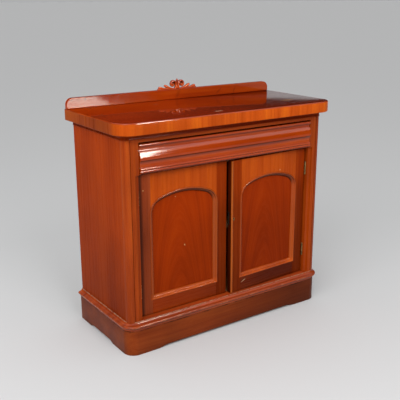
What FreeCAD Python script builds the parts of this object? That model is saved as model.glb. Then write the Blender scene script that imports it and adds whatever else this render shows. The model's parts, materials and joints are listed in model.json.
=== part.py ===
import FreeCAD, Part
import os
import Sketcher

# Sideboard: millimetres, X across the front, -Y towards the room, +Z up.
# The origin is on the floor, in the middle of the outline seen from above.

sizes = [
    # top and gallery
    ("top_width", "1100", "whole width across the top"),
    ("top_depth", "492", "whole depth, front edge to back"),
    ("top_surface", "977", "height of the upper face of the top"),
    ("top_board_thick", "20", "thickness of the top board"),
    ("lining_thick", "28", "thickness of the lining under its edge"),
    ("lining_front_depth", "95", "depth of the front lining"),
    ("lining_side_width", "62", "width of the side linings"),
    ("top_corner", "75", "radius of the front corners of the top"),
    ("side_overhang", "36", "top beyond the case side"),
    ("front_overhang", "46", "top beyond the front stiles"),
    ("gallery_height", "45", "height of the gallery above the top"),
    ("gallery_thick", "19", "thickness of the gallery"),
    ("gallery_inset", "3", "gallery end behind the end of the top"),
    ("gallery_corner", "30", "radius of the upper corners of the gallery"),
    ("crest_centre", "8", "middle of the crest from the middle of the case"),
    ("crest_thick", "14", "thickness of the crest"),
    ("crest_half", "107", "half length of the crest"),
    ("crest_tip", "8", "height of the leaf tips"),
    ("crest_hollow_out", "60", "hollow behind each leaf, from the middle"),
    ("crest_hollow", "14", "height of that hollow"),
    ("crest_shoulder_out", "48", "shoulder of each scroll, from the middle"),
    ("crest_shoulder", "33", "height of that shoulder"),
    ("crest_neck_out", "24", "neck below the bud, from the middle"),
    ("crest_neck", "42", "height of the neck"),
    ("crest_bud_half", "10", "half width of the bud at its top"),
    ("crest_height", "51", "height of the crest above the gallery"),
    ("crest_sweep", "34", "radius of the curves along the crest"),
    ("volute_out", "24", "centre of each volute, from the middle"),
    ("volute_up", "25", "centre of each volute above the gallery"),
    ("volute_radius", "13", "radius of the volutes"),
    ("volute_proud", "2.5", "volutes beyond the face of the crest"),
    # case
    ("post_radius", "27", "radius of the corner posts"),
    ("side_thick", "22", "thickness of the side panels"),
    ("stile_thick", "24", "thickness of the front stiles"),
    ("stile_width", "39", "width of the front stiles"),
    ("quirk", "3", "groove between stile and corner post"),
    ("jamb_step", "8", "depth of the step beside the doors"),
    ("jamb_width", "18", "width of the step beside the doors"),
    ("jamb_step_top", "5", "step above the top of the doors"),
    ("top_rail_height", "36", "height of the rails under the top"),
    ("bed_height", "24", "height of the bed mould"),
    ("bed_proud", "10", "bed mould beyond the case"),
    ("bed_fillet", "3", "flat edges of the bed mould"),
    ("drawer_rail_thick", "21", "thickness of the rail under the drawer"),
    ("drawer_rail_depth", "60", "depth of that rail behind the doors"),
    ("rail_tongue", "9", "thickness of the tongue above the doors"),
    ("runner_width", "62", "width of the drawer runners"),
    ("guide_height", "20", "height of the drawer guides"),
    ("kicker_height", "15", "height of the drawer kickers"),
    ("kicker_width", "60", "width of the drawer kickers"),
    ("stop_width", "30", "width of the drawer stops"),
    ("stop_depth", "28", "depth of the drawer stops"),
    ("stop_height", "6", "height of the drawer stops"),
    ("stop_out", "220", "drawer stops from the middle"),
    ("bottom_thick", "20", "thickness of the bottom board"),
    ("bearer_height", "16", "height of the bearers under it"),
    ("bearer_width", "24", "width of those bearers"),
    ("shelf_level", "458", "height of the upper face of the shelf"),
    ("shelf_thick", "18", "thickness of the shelf"),
    ("shelf_setback", "65", "shelf behind the front of the stiles"),
    ("batten", "20", "section of the shelf battens"),
    ("back_thick", "14", "thickness of the back boards"),
    ("back_board_count", "6", "number of back boards"),
    ("back_board_gap", "0.4", "shrinkage gap between back boards"),
    # plinth
    ("plinth_height", "112", "height of the plinth"),
    ("plinth_proud", "10", "plinth beyond the case"),
    ("plinth_thick", "20", "thickness of the plinth boards"),
    ("plinth_corner", "50", "radius of the plinth corners"),
    ("cut_rise", "9.5", "height of the hollow under the plinth"),
    ("front_cut_half", "382", "half length of the hollow in front"),
    ("front_cut_slope", "50", "sloping end of that hollow"),
    ("side_cut_centre", "45.5", "middle of the hollow at the sides"),
    ("side_cut_half", "106.5", "half length of the hollow at the sides"),
    ("side_cut_slope", "25", "sloping end of that hollow"),
    ("glue_block", "35", "width of the glue blocks"),
    ("glue_block_clear", "12", "glue blocks above the floor"),
    ("mould_height", "35.5", "height of the plinth moulding"),
    ("mould_proud", "22", "plinth moulding beyond the case"),
    ("mould_base", "12", "plinth moulding beyond the case at its foot"),
    ("mould_nose_low", "11", "underside of the nose above the foot"),
    ("mould_nose_high", "24", "upper edge of the nose above the foot"),
    ("mould_nose_rise", "6", "nose beyond the hollows beside it"),
    ("mould_foot_edge", "4", "flat edge at the foot of the moulding"),
    ("mould_cove", "12", "radius of the cove under the nose"),
    ("mould_hollow", "36", "radius of the hollow above the nose"),
    ("mould_top_edge", "3", "moulding beyond the case at its top"),
    ("mould_top_flat", "2", "flat edge at the top of the moulding"),
    # doors
    ("door_thick", "22", "thickness of the doors"),
    ("door_floor_gap", "4", "gap under the doors"),
    ("door_head_gap", "2", "gap above the doors"),
    ("door_stop_gap", "0.5", "closed door in front of the drawer rail"),
    ("hinge_gap", "7", "gap at the hinge edge, filled by the knuckle"),
    ("meeting_gap", "8", "gap between the two doors"),
    ("hinge_stile_width", "54", "width of the stile at the hinges"),
    ("meeting_stile_width", "57", "width of the stile at the middle"),
    ("bottom_rail_height", "66", "height of the bottom rail"),
    ("arch_spring", "434", "foot of the arch above the door's bottom"),
    ("arch_corner", "65", "radius of the shoulders of the arch"),
    ("arch_crown", "338", "radius of the crown of the arch"),
    ("panel_thick", "8", "thickness of the panels"),
    ("panel_rebate", "10", "rebate that holds a panel"),
    ("panel_play", "1", "room for a panel to swell"),
    ("panel_mould_width", "18", "width of the moulding round a panel"),
    ("panel_mould_proud", "1.5", "its outer edge beyond the door's face"),
    ("panel_mould_edge", "5", "flat outer edge of that moulding"),
    ("panel_mould_lip", "2.5", "its inner edge above the panel"),
    ("tenon_thick", "8", "thickness of the tenons"),
    ("tenon_length", "35", "length of the tenons"),
    ("tenon_shoulder", "10", "shoulder above and below a tenon"),
    ("door_ajar", "2.5", "angle at which the right door rests ajar"),
    ("closing_bead_width", "11", "half-round bead on the right door"),
    ("closing_bead_proud", "4", "that bead beyond the door's face"),
    # door furniture
    ("pin_ahead", "4", "hinge pin in front of the door's face"),
    ("pin_radius", "1.5", "radius of the hinge pins"),
    ("pin_play", "0.05", "play round the hinge pins"),
    ("knuckle_clear", "0.3", "knuckle to the wood on each side"),
    ("knuckle_gap", "0.3", "gap between neighbouring knuckles"),
    ("leaf_thick", "1.6", "thickness of the hinge leaves"),
    ("leaf_depth", "18", "depth of the hinge leaves"),
    ("hinge_length", "60", "length of the hinges"),
    ("hinge_high", "665", "middle of the upper hinges"),
    ("hinge_low", "265", "middle of the lower hinges"),
    ("screw_head", "2.6", "radius of a screw head"),
    ("screw_head_thick", "1.2", "thickness of a screw head"),
    ("screw_shank", "1.5", "radius of a screw shank"),
    ("screw_length", "14", "length of a screw"),
    ("screw_pitch", "18", "distance between screws"),
    ("lock_level", "500", "middle of the lock"),
    ("lock_height", "60", "height of the lock case"),
    ("lock_width", "40", "width of the lock case"),
    ("lock_depth", "10", "depth of the lock case"),
    ("lock_bolt_height", "16", "height of the lock bolt"),
    ("lock_bolt_thick", "5", "thickness of the lock bolt"),
    ("lock_bolt_length", "24", "length of the lock bolt"),
    ("lock_bolt_throw", "12", "travel of the lock bolt"),
    ("lock_bolt_play", "0.3", "play round the lock bolt"),
    ("lock_bolt_sunk", "0.6", "bolt behind the door's edge at rest"),
    ("strike_play", "1", "room round the bolt in the other door"),
    ("keyhole_in", "15.5", "keyhole from the edge of the door"),
    ("keyhole_radius", "3", "radius of the keyhole's round part"),
    ("keyhole_slot", "2.4", "width of the keyhole's slot"),
    ("keyhole_drop", "9", "foot of the slot below the centre"),
    ("keyhole_rim", "1.2", "width of the brass rim"),
    ("keyhole_rim_depth", "6", "depth of the brass rim"),
    ("slide_bolt_in", "26", "sliding bolt from the edge of its door"),
    ("slide_bolt_radius", "3", "radius of the sliding bolt"),
    ("slide_bolt_length", "110", "length of the sliding bolt"),
    ("slide_bolt_below", "1.5", "end of the bolt below the drawer rail"),
    ("slide_bolt_hole", "3.5", "radius of its hole in the rail"),
    ("slide_plate_width", "20", "width of its plate"),
    ("slide_plate_thick", "1.5", "thickness of its plate"),
    ("slide_plate_drop", "20", "plate below the end of the bolt"),
    ("slide_gap", "1.5", "bolt behind its plate"),
    ("slide_knob", "4", "radius of the thumb knob"),
    ("slide_knob_length", "9", "length of the thumb knob"),
    ("staple_width", "12", "width of a staple"),
    ("staple_height", "8", "height of a staple"),
    ("staple_wall", "1.5", "wall of a staple behind the bolt"),
    # drawer
    ("drawer_height", "118", "height of the drawer front"),
    ("drawer_head_gap", "7", "gap above the drawer front"),
    ("drawer_side_gap", "3", "gap at each end of the drawer front"),
    ("drawer_drop", "1", "front below the upper face of its rail"),
    ("drawer_front_thick", "22", "thickness of the drawer front"),
    ("drawer_side_thick", "14", "thickness of the drawer sides"),
    ("drawer_back_thick", "12", "thickness of the drawer back"),
    ("drawer_bottom_thick", "6", "thickness of the drawer bottom"),
    ("drawer_bottom_up", "7", "drawer bottom above the runners"),
    ("drawer_groove", "6", "groove that holds the drawer bottom"),
    ("drawer_tail_gap", "27", "gap between the drawer and the back boards"),
    ("drawer_side_height", "116", "height of the drawer sides"),
    ("drawer_back_low", "5", "drawer back below the drawer sides"),
    ("run_clear", "0.3", "clearance of what slides on wood"),
    ("guide_clear", "1", "clearance beside the drawer"),
    ("front_bead", "11", "height of the bead at the top of the front"),
    ("front_bead_proud", "7", "step on which the bead stands"),
    ("front_bead_radius", "5.7", "radius of that bead"),
    ("front_ground", "2", "ground between the mouldings"),
    ("front_ledge", "14", "flat between bead and bulge"),
    ("front_bulge", "38", "height of the bulge"),
    ("front_bulge_radius", "34", "radius of the bulge"),
    ("front_cove", "32", "height of the cove"),
    ("front_cove_lip", "5", "cove's lower edge beyond the front"),
    ("front_cove_radius", "32", "radius of the cove"),
    ("front_reed", "10", "height of each lower bead"),
    ("front_reed_radius", "5.3", "radius of each lower bead"),
]

document = FreeCAD.newDocument("Sideboard")
sheet = document.addObject("Spreadsheet::Sheet", "Sizes")


class Size:
    """A number together with the way the sheet works it out."""

    def __init__(self, value, text):
        self.value = value
        self.text = text

    def __add__(self, other):
        other = as_size(other)
        return Size(self.value + other.value, "(%s + %s)" % (self.text, other.text))

    def __sub__(self, other):
        other = as_size(other)
        return Size(self.value - other.value, "(%s - %s)" % (self.text, other.text))

    def __mul__(self, other):
        other = as_size(other)
        return Size(self.value * other.value, "(%s * %s)" % (self.text, other.text))

    def __truediv__(self, other):
        other = as_size(other)
        return Size(self.value / other.value, "(%s / %s)" % (self.text, other.text))

    def __neg__(self):
        return Size(-self.value, "(0 - %s)" % self.text)

    def root(self):
        return Size(self.value ** 0.5, "sqrt(%s)" % self.text)


def as_size(item):
    if isinstance(item, Size):
        return item
    return Size(float(item), "(%r)" % float(item))


class Sheet:
    """Every size of the sheet under its own name."""


s = Sheet()
for row, (alias, number, note) in enumerate(sizes, start=1):
    sheet.set("A%d" % row, note)
    sheet.set("B%d" % row, number)
    sheet.setAlias("B%d" % row, alias)
    setattr(s, alias, Size(float(number), "Sizes." + alias))
document.recompute()

left, right = -1, 1
beyond = 1  # how far a cutting shape reaches past what it cuts
kept = []


def bind(item, name, size):
    item.setExpression(name, as_size(size).text)


def move(item, x=0, y=0, z=0):
    for axis, size in zip("xyz", (x, y, z)):
        bind(item, "Placement.Base." + axis, size)


def turn(item, x, y, angle):
    """Place an item at x, y, turned about the vertical."""
    text = "placement(vector(%s; %s; 0); rotation(vector(0; 0; 1); %s))"
    item.setExpression("Placement", text % (as_size(x).text, as_size(y).text, as_size(angle).text))


def keep(item, label):
    item.Label = label
    kept.append(item)
    return item


def block(label, x, y, z):
    """A straight board between two faces each way."""
    box = document.addObject("Part::Box", label)
    for name, axis, (low, high) in zip(("Length", "Width", "Height"), "xyz", (x, y, z)):
        bind(box, name, as_size(high) - low)
        bind(box, "Placement.Base." + axis, low)
    return box


def rod(label, x, y, z, radius):
    """An upright round rod between two heights."""
    cylinder = document.addObject("Part::Cylinder", label)
    bind(cylinder, "Radius", radius)
    bind(cylinder, "Height", as_size(z[1]) - z[0])
    move(cylinder, x, y, z[0])
    return cylinder


def lying_rod(label, start, length, radius, direction):
    """A round rod that starts at a point and runs along one axis."""
    cylinder = document.addObject("Part::Cylinder", label)
    bind(cylinder, "Radius", radius)
    bind(cylinder, "Height", length)
    cylinder.Placement.Rotation = FreeCAD.Rotation(FreeCAD.Vector(0, 0, 1), FreeCAD.Vector(*direction))
    move(cylinder, *start)
    return cylinder


def quarter(label, side, x, y, z, radius):
    """A front corner: a quarter of a round, about an upright line at x, y."""
    cylinder = document.addObject("Part::Cylinder", label)
    bind(cylinder, "Radius", radius)
    bind(cylinder, "Height", as_size(z[1]) - z[0])
    cylinder.Angle = 90
    start = -90 if side == right else 180
    text = "placement(vector(%s; %s; %s); rotation(vector(0; 0; 1); %d))"
    cylinder.setExpression("Placement", text % ((x * side).text, y.text, as_size(z[0]).text, start))
    return cylinder


def cut(label, base, tool):
    result = document.addObject("Part::Cut", label)
    result.Base = base
    result.Tool = tool
    return result


def join(label, items):
    result = document.addObject("Part::MultiFuse", label)
    result.Shapes = items
    result.Refine = True
    return result


def group(label, items):
    """Separate solids that share one name."""
    result = document.addObject("Part::Compound", label)
    result.Links = items
    return result


def span(side, near, far):
    """A range measured outwards from the middle, on one side of it."""
    if side == right:
        return (near, far)
    return (-as_size(far), -as_size(near))


def arc_middle(start, end, radius, turning):
    chord = end - start
    across = FreeCAD.Vector(-chord.y, chord.x, 0) * (turning / chord.Length)
    reach = max(radius ** 2 - chord.Length ** 2 / 4, 0.0) ** 0.5
    return (start + end) * 0.5 + across * (reach - radius)


def outline(body, plane_role, corners, offset=0):
    """A closed sketch. A corner is (a, b), or (a, b, radius, turning) where an arc
    leaves it: turning is 1 when the arc bends left along the way and -1 when right."""
    sketch = body.newObject("Sketcher::SketchObject", body.Name + "_outline")
    plane = [item for item in body.Origin.OriginFeatures if item.Role == plane_role][0]
    sketch.AttachmentSupport = [(plane, "")]
    sketch.MapMode = "FlatFace"
    bind(sketch, "AttachmentOffset.Base.z", offset)
    places = [FreeCAD.Vector(as_size(c[0]).value, as_size(c[1]).value, 0) for c in corners]
    count = len(corners)
    first = []
    for index, corner in enumerate(corners):
        start, end = places[index], places[(index + 1) % count]
        # an arc is always drawn anticlockwise, so one that turns right starts at its far end
        backwards = len(corner) > 2 and corner[3] < 0
        first.append(2 if backwards else 1)
        if len(corner) > 2:
            middle = arc_middle(start, end, as_size(corner[2]).value, corner[3])
            ends = (end, start) if backwards else (start, end)
            sketch.addGeometry(Part.Arc(ends[0], middle, ends[1]), False)
        else:
            sketch.addGeometry(Part.LineSegment(start, end), False)
    for index, corner in enumerate(corners):
        after = (index + 1) % count
        ends = (index, 3 - first[index], after, first[after])
        sketch.addConstraint(Sketcher.Constraint("Coincident", *ends))
        for kind, size in zip(("DistanceX", "DistanceY"), corner[:2]):
            place = Sketcher.Constraint(kind, -1, 1, index, first[index], as_size(size).value)
            bind(sketch, "Constraints[%d]" % sketch.addConstraint(place), size)
        if len(corner) > 2:
            bend = Sketcher.Constraint("Radius", index, as_size(corner[2]).value)
            bind(sketch, "Constraints[%d]" % sketch.addConstraint(bend), corner[2])
    return sketch


def prism(label, plane_role, corners, low, high):
    """A moulded or shaped board: one outline, pushed from low to high."""
    body = document.addObject("PartDesign::Body", label)
    # the upright plane across the front looks towards -Y, so its depth runs backwards
    offset = -as_size(high) if plane_role == "XZ_Plane" else low
    sketch = outline(body, plane_role, corners, offset)
    pad = body.newObject("PartDesign::Pad", label + "_pad")
    pad.Profile = sketch
    bind(pad, "Length", as_size(high) - low)
    return body


def corner_turn(label, side, section, x, y):
    """A moulding's section, as distance and height, turned round a front corner."""
    body = document.addObject("PartDesign::Body", label)
    sketch = outline(body, "XZ_Plane", section)
    spin = body.newObject("PartDesign::Revolution", label + "_turn")
    spin.Profile = sketch
    spin.ReferenceAxis = (sketch, ["V_Axis"])
    spin.Angle = 90
    document.recompute()
    spin.Reversed = spin.Shape.BoundBox.YMax < beyond
    turn(body, x * side, y, -90 if side == right else 180)
    return body


# Faces and levels that several pieces share

half_top = s.top_width / 2
back_face = s.top_depth / 2
top_front = -back_face
top_back_corner = top_front + s.top_corner
lining_floor = s.top_surface - s.top_board_thick - s.lining_thick
gallery_top = s.top_surface + s.gallery_height

case_half = half_top - s.side_overhang
case_front = top_front + s.front_overhang
stile_back = case_front + s.stile_thick
post_in = case_half - s.post_radius
post_back = case_front + s.post_radius
inner_half = case_half - s.side_thick
opening_half = post_in - s.stile_width
back_front = back_face - s.back_thick

rail_foot = lining_floor - s.top_rail_height
front_top = rail_foot - s.drawer_head_gap
front_foot = front_top - s.drawer_height
runner_top = front_foot + s.drawer_drop
runner_foot = runner_top - s.drawer_rail_thick
tongue_foot = runner_top - s.rail_tongue

plinth_half = case_half + s.plinth_proud
plinth_front = case_front - s.plinth_proud
corner_x = plinth_half - s.plinth_corner
corner_y = plinth_front + s.plinth_corner
bottom_foot = s.plinth_height + s.bearer_height
bottom_top = bottom_foot + s.bottom_thick

door_front = stile_back
door_back = door_front + s.door_thick
door_foot = bottom_top + s.door_floor_gap
door_top = tongue_foot - s.door_head_gap
door_hinge_edge = opening_half - s.hinge_gap
door_meeting_edge = s.meeting_gap / 2
pin_x = opening_half - s.hinge_gap / 2
pin_y = door_front - s.pin_ahead
rail_front = door_back + s.door_stop_gap


def top():
    def rounded_top(label, back, low, high):
        corners = [
            (half_top, back),
            (-half_top, back),
            (-half_top, top_back_corner, s.top_corner, 1),
            (s.top_corner - half_top, top_front),
            (half_top - s.top_corner, top_front, s.top_corner, 1),
            (half_top, top_back_corner),
        ]
        return prism(label, "XY_Plane", corners, low, high)

    board_foot = s.top_surface - s.top_board_thick
    lining_back = top_front + s.lining_front_depth
    keep(rounded_top("top_board", back_face, board_foot, s.top_surface), "top_board")
    height = (lining_floor, board_foot)
    linings = [rounded_top("lining_front", lining_back, *height)]
    for side, word in ((left, "left"), (right, "right")):
        across = span(side, half_top - s.lining_side_width, half_top)
        linings.append(block("lining_" + word, across, (lining_back, back_face), height))
    across = (s.lining_side_width - half_top, half_top - s.lining_side_width)
    linings.append(block("lining_rear", across, (back_face - s.lining_side_width, back_face), height))
    keep(group("top_lining", linings), "top_lining")


def gallery():
    half = half_top - s.gallery_inset
    shoulder = gallery_top - s.gallery_corner
    corners = [
        (-half, s.top_surface),
        (half, s.top_surface),
        (half, shoulder, s.gallery_corner, 1),
        (half - s.gallery_corner, gallery_top),
        (s.gallery_corner - half, gallery_top, s.gallery_corner, 1),
        (-half, shoulder),
    ]
    front = back_face - s.gallery_thick
    keep(prism("gallery_back", "XZ_Plane", corners, front, back_face), "gallery_back")

    middle = front + s.gallery_thick / 2
    face = (middle - s.crest_thick / 2, middle + s.crest_thick / 2)

    def crest_point(out, up, *bend):
        return (s.crest_centre + out, gallery_top + up) + bend

    sweep = s.crest_sweep
    corners = [
        crest_point(-s.crest_half, 0),
        crest_point(s.crest_half, 0),
        crest_point(s.crest_half, s.crest_tip, sweep * 2, -1),
        crest_point(s.crest_hollow_out, s.crest_hollow),
        crest_point(s.crest_shoulder_out, s.crest_shoulder, sweep, 1),
        crest_point(s.crest_neck_out, s.crest_neck, sweep, -1),
        crest_point(s.crest_bud_half, s.crest_height),
        crest_point(-s.crest_bud_half, s.crest_height, sweep, -1),
        crest_point(-s.crest_neck_out, s.crest_neck, sweep, 1),
        crest_point(-s.crest_shoulder_out, s.crest_shoulder),
        crest_point(-s.crest_hollow_out, s.crest_hollow, sweep * 2, -1),
        crest_point(-s.crest_half, s.crest_tip),
    ]
    pieces = [prism("crest_blank", "XZ_Plane", corners, *face)]
    for side, word in ((left, "left"), (right, "right")):
        start = (s.crest_centre + s.volute_out * side, face[0] - s.volute_proud, gallery_top + s.volute_up)
        length = s.crest_thick + s.volute_proud
        pieces.append(lying_rod("volute_" + word, start, length, s.volute_radius, (0, 1, 0)))
    keep(join("crest_carving", pieces), "crest_carving")


def bed_mould():
    foot = lining_floor - s.bed_height
    flat = s.bed_fillet

    def section(face, outwards):
        """A cove between two flat edges, hollow towards the room."""
        return [
            (face, foot),
            (face + outwards * flat, foot),
            (face + outwards * flat, foot + flat, s.bed_height, hollow(outwards)),
            (face + outwards * s.bed_proud, lining_floor - flat),
            (face + outwards * s.bed_proud, lining_floor),
            (face, lining_floor),
        ]

    runs(section, "bed_mould", post_in, post_back, s.post_radius)


def hollow(outwards):
    """The way an arc turns where a section is hollow."""
    return 1 if outwards.value < 0 else -1


def runs(section, name, x, y, radius, trim=None):
    """One moulding along the front, round both corners and along both sides."""
    front = prism(name + "_front", "YZ_Plane", section(case_front, as_size(-1)), -x, x)
    keep(front, name + "_front")
    corners = []
    sides = []
    for side, word in ((left, "left"), (right, "right")):
        profile = section(radius, as_size(1))
        if trim:
            # a trimmed corner starts too deep, and the case's own corner then shapes its back
            profile[0] = (radius - beyond, profile[0][1])
            profile[-1] = (radius - beyond, profile[-1][1])
        turned = corner_turn(name + "_turn_" + word, side, profile, x, y)
        if trim:
            turned = cut(name + "_corner_" + word, turned, trim(side, word))
        corners.append(turned)
        profile = section(case_half * side, as_size(side))
        sides.append(prism(name + "_side_" + word, "XZ_Plane", profile, y, back_face))
    keep(group(name + "_runs", corners + sides), name + "_returns")


def case_front_and_sides():
    height = (s.plinth_height, lining_floor)
    rebate_top = door_top + s.jamb_step_top
    posts = []
    stiles = []
    hinge_posts = []
    for side, word in ((left, "left"), (right, "right")):
        panel = block("side_" + word, span(side, inner_half, case_half), (post_back, back_face), height)
        keep(panel, "side_panel_" + word)
        post = quarter("post_" + word, side, post_in, post_back, height, s.post_radius)
        notch = block("post_notch_" + word, span(side, post_in, inner_half), (stile_back, post_back), height)
        posts.append(cut("post_notched_" + word, post, notch))
        board = block("stile_board_" + word, span(side, opening_half, post_in),
                      (case_front, stile_back), height)
        groove = block("stile_quirk_" + word, span(side, post_in - s.quirk, post_in),
                       (case_front, case_front + s.quirk), height)
        step = block("stile_step_" + word, span(side, opening_half, opening_half + s.jamb_width),
                     (case_front, case_front + s.jamb_step), (bottom_top, rebate_top))
        grooved = cut("stile_grooved_" + word, board, groove)
        stiles.append(cut("stile_" + word, grooved, step))
        hinge_post = block("hinge_post_" + word, span(side, opening_half, inner_half),
                           (stile_back, door_back), (bottom_top, tongue_foot))
        hinge_posts.append(hinge_post)
    keep(group("posts", posts), "corner_posts")
    keep(group("stiles", stiles), "front_stiles")
    keep(group("posts_inside", hinge_posts), "hinge_posts")
    rail = block("rail_front", (-opening_half, opening_half), (case_front, stile_back),
                 (rail_foot, lining_floor))
    keep(rail, "top_rail_front")
    rail = block("rail_rear", (-inner_half, inner_half), (back_front - s.stile_thick, back_front),
                 (rail_foot, lining_floor))
    keep(rail, "top_rail_rear")


def drawer_frame():
    rail_back = rail_front + s.drawer_rail_depth
    rail = block("drawer_rail_board", (-inner_half, inner_half), (rail_front, rail_back),
                 (runner_foot, runner_top))
    tongue = block("drawer_rail_tongue", (-inner_half, inner_half), (stile_back, rail_front),
                   (tongue_foot, runner_top))
    bolt_x = -(door_meeting_edge + s.slide_bolt_in)
    hole = rod("drawer_rail_hole", bolt_x, slide_bolt_y, (runner_foot, tongue_foot), s.slide_bolt_hole)
    joined = join("drawer_rail_joined", [rail, tongue])
    keep(cut("drawer_rail_bored", joined, hole), "drawer_rail")

    runners = []
    guides = []
    kickers = []
    stops = []
    guide_in = opening_half - s.drawer_side_gap + s.guide_clear
    kicker_back = back_front - s.stile_thick
    for side, word in ((left, "left"), (right, "right")):
        across = span(side, inner_half - s.runner_width, inner_half)
        runners.append(block("runner_" + word, across, (rail_back, back_front), (runner_foot, runner_top)))
        across = span(side, guide_in, inner_half)
        height = (runner_top, runner_top + s.guide_height)
        guides.append(block("guide_" + word, across, (stile_back, back_front), height))
        across = span(side, inner_half - s.kicker_width, inner_half)
        height = (lining_floor - s.top_rail_height, lining_floor - s.top_rail_height + s.kicker_height)
        kickers.append(block("kicker_" + word, across, (stile_back, kicker_back), height))
        across = span(side, s.stop_out - s.stop_width / 2, s.stop_out + s.stop_width / 2)
        stop_front = case_front + s.drawer_front_thick + s.run_clear
        height = (runner_top, runner_top + s.stop_height)
        stops.append(block("stop_" + word, across, (stop_front, stop_front + s.stop_depth), height))
    keep(group("runners", runners), "drawer_runners")
    keep(group("guides", guides), "drawer_guides")
    keep(group("kickers", kickers), "drawer_kickers")
    keep(group("stops", stops), "drawer_stops")


def case_inside():
    narrow = block("bottom_front", (-opening_half, opening_half), (case_front, stile_back),
                   (bottom_foot, bottom_top))
    deep = (stile_back, back_front)
    wide = block("bottom_rear", (-inner_half, inner_half), deep, (bottom_foot, bottom_top))
    keep(join("bottom_joined", [narrow, wide]), "bottom_board")
    height = (s.plinth_height, bottom_foot)
    bearers = [block("bearer_front", (-opening_half, opening_half), (case_front, stile_back), height)]
    battens = []
    shelf_foot = s.shelf_level - s.shelf_thick
    shelf_front = case_front + s.shelf_setback
    for side, word in ((left, "left"), (right, "right")):
        across = span(side, inner_half - s.bearer_width, inner_half)
        bearers.append(block("bearer_" + word, across, (stile_back, back_front), height))
        across = span(side, inner_half - s.batten, inner_half)
        under_shelf = (shelf_foot - s.batten, shelf_foot)
        battens.append(block("batten_" + word, across, (shelf_front, back_front), under_shelf))
    keep(group("bearers", bearers), "bottom_bearers")
    keep(group("battens", battens), "shelf_battens")
    shelf = block("shelf_board", (-inner_half + s.run_clear, inner_half - s.run_clear),
                  (shelf_front, back_front - s.run_clear), (shelf_foot, s.shelf_level))
    keep(shelf, "shelf")

    width = inner_half * 2 / s.back_board_count
    boards = []
    for index in range(round(s.back_board_count.value)):
        start = width * index - inner_half
        across = (start + s.back_board_gap / 2, start + width - s.back_board_gap / 2)
        height = (s.plinth_height, lining_floor)
        boards.append(block("back_board_%d" % (index + 1), across, (back_front, back_face), height))
    keep(group("boards", boards), "back_boards")


def plinth():
    height = (as_size(0), s.plinth_height)
    wood = s.plinth_thick

    def cut_outline(start, end, middle, half, slope):
        """A board seen square on, hollowed along its foot."""
        return [
            (start, 0),
            (middle - half, 0),
            (middle - half + slope, s.cut_rise),
            (middle + half - slope, s.cut_rise),
            (middle + half, 0),
            (end, 0),
            (end, s.plinth_height),
            (start, s.plinth_height),
        ]

    corners = cut_outline(-corner_x, corner_x, as_size(0), s.front_cut_half, s.front_cut_slope)
    board = prism("plinth_board", "XZ_Plane", corners, plinth_front, plinth_front + wood)
    keep(board, "plinth_front")
    corners = cut_outline(corner_y, back_face, s.side_cut_centre, s.side_cut_half, s.side_cut_slope)
    ends = []
    quarters = []
    blocks = []
    for side, word in ((left, "left"), (right, "right")):
        across = span(side, plinth_half - wood, plinth_half)
        ends.append(prism("plinth_end_" + word, "YZ_Plane", corners, *across))
        quarters.append(quarter("plinth_quarter_" + word, side, corner_x, corner_y, height, s.plinth_corner))
        tall = (s.glue_block_clear, s.plinth_height)
        across = span(side, corner_x - s.glue_block, corner_x)
        front = (plinth_front + wood, corner_y)
        blocks.append(block("glue_block_front_" + word, across, front, tall))
        across = span(side, plinth_half - wood - s.glue_block, plinth_half - wood)
        rear = (back_face - wood - s.glue_block, back_face - wood)
        blocks.append(block("glue_block_rear_" + word, across, rear, tall))
    keep(group("ends", ends), "plinth_sides")
    keep(group("quarters", quarters), "plinth_corners")
    keep(group("glue_blocks", blocks), "plinth_glue_blocks")
    across = (wood - plinth_half, plinth_half - wood)
    rear = block("plinth_rear", across, (back_face - wood, back_face), height)
    keep(rear, "plinth_back")


def plinth_mould():
    foot = s.plinth_height
    head = foot + s.mould_height
    nose_half = (s.mould_nose_high - s.mould_nose_low) / 2
    nose_rise = s.mould_nose_rise
    nose = (nose_half * nose_half + nose_rise * nose_rise) / (nose_rise * 2)

    def section(face, outwards):
        """A round nose between a small cove below and a falling hollow above."""
        bend = hollow(outwards)
        step = face + outwards * (s.mould_proud - nose_rise)
        return [
            (face, foot),
            (face + outwards * s.mould_base, foot),
            (face + outwards * s.mould_base, foot + s.mould_foot_edge, s.mould_cove, bend),
            (step, foot + s.mould_nose_low, nose, -bend),
            (step, foot + s.mould_nose_high, s.mould_hollow, bend),
            (face + outwards * s.mould_top_edge, head - s.mould_top_flat),
            (face + outwards * s.mould_top_edge, head),
            (face, head),
        ]

    def case_corner(side, word):
        """The corner of the case, cut out of the turned moulding."""
        tall = (foot - beyond, head + beyond)
        post = quarter("mould_post_" + word, side, post_in, post_back, tall, s.post_radius)
        front = block("mould_front_cut_" + word, span(side, corner_x - beyond, post_in),
                      (case_front, corner_y + beyond), tall)
        end = block("mould_end_cut_" + word, span(side, corner_x - beyond, case_half),
                    (post_back, corner_y + beyond), tall)
        return join("mould_cut_" + word, [post, front, end])

    case_radius = case_half - corner_x
    runs(section, "plinth_mould", corner_x, corner_y, case_radius, case_corner)


knuckle = s.hinge_gap / 2 - s.knuckle_clear
slide_bolt_y = door_back + s.slide_plate_thick + s.slide_gap + s.slide_bolt_radius


def hinge_levels():
    return (("low", s.hinge_low), ("high", s.hinge_high))


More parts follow.
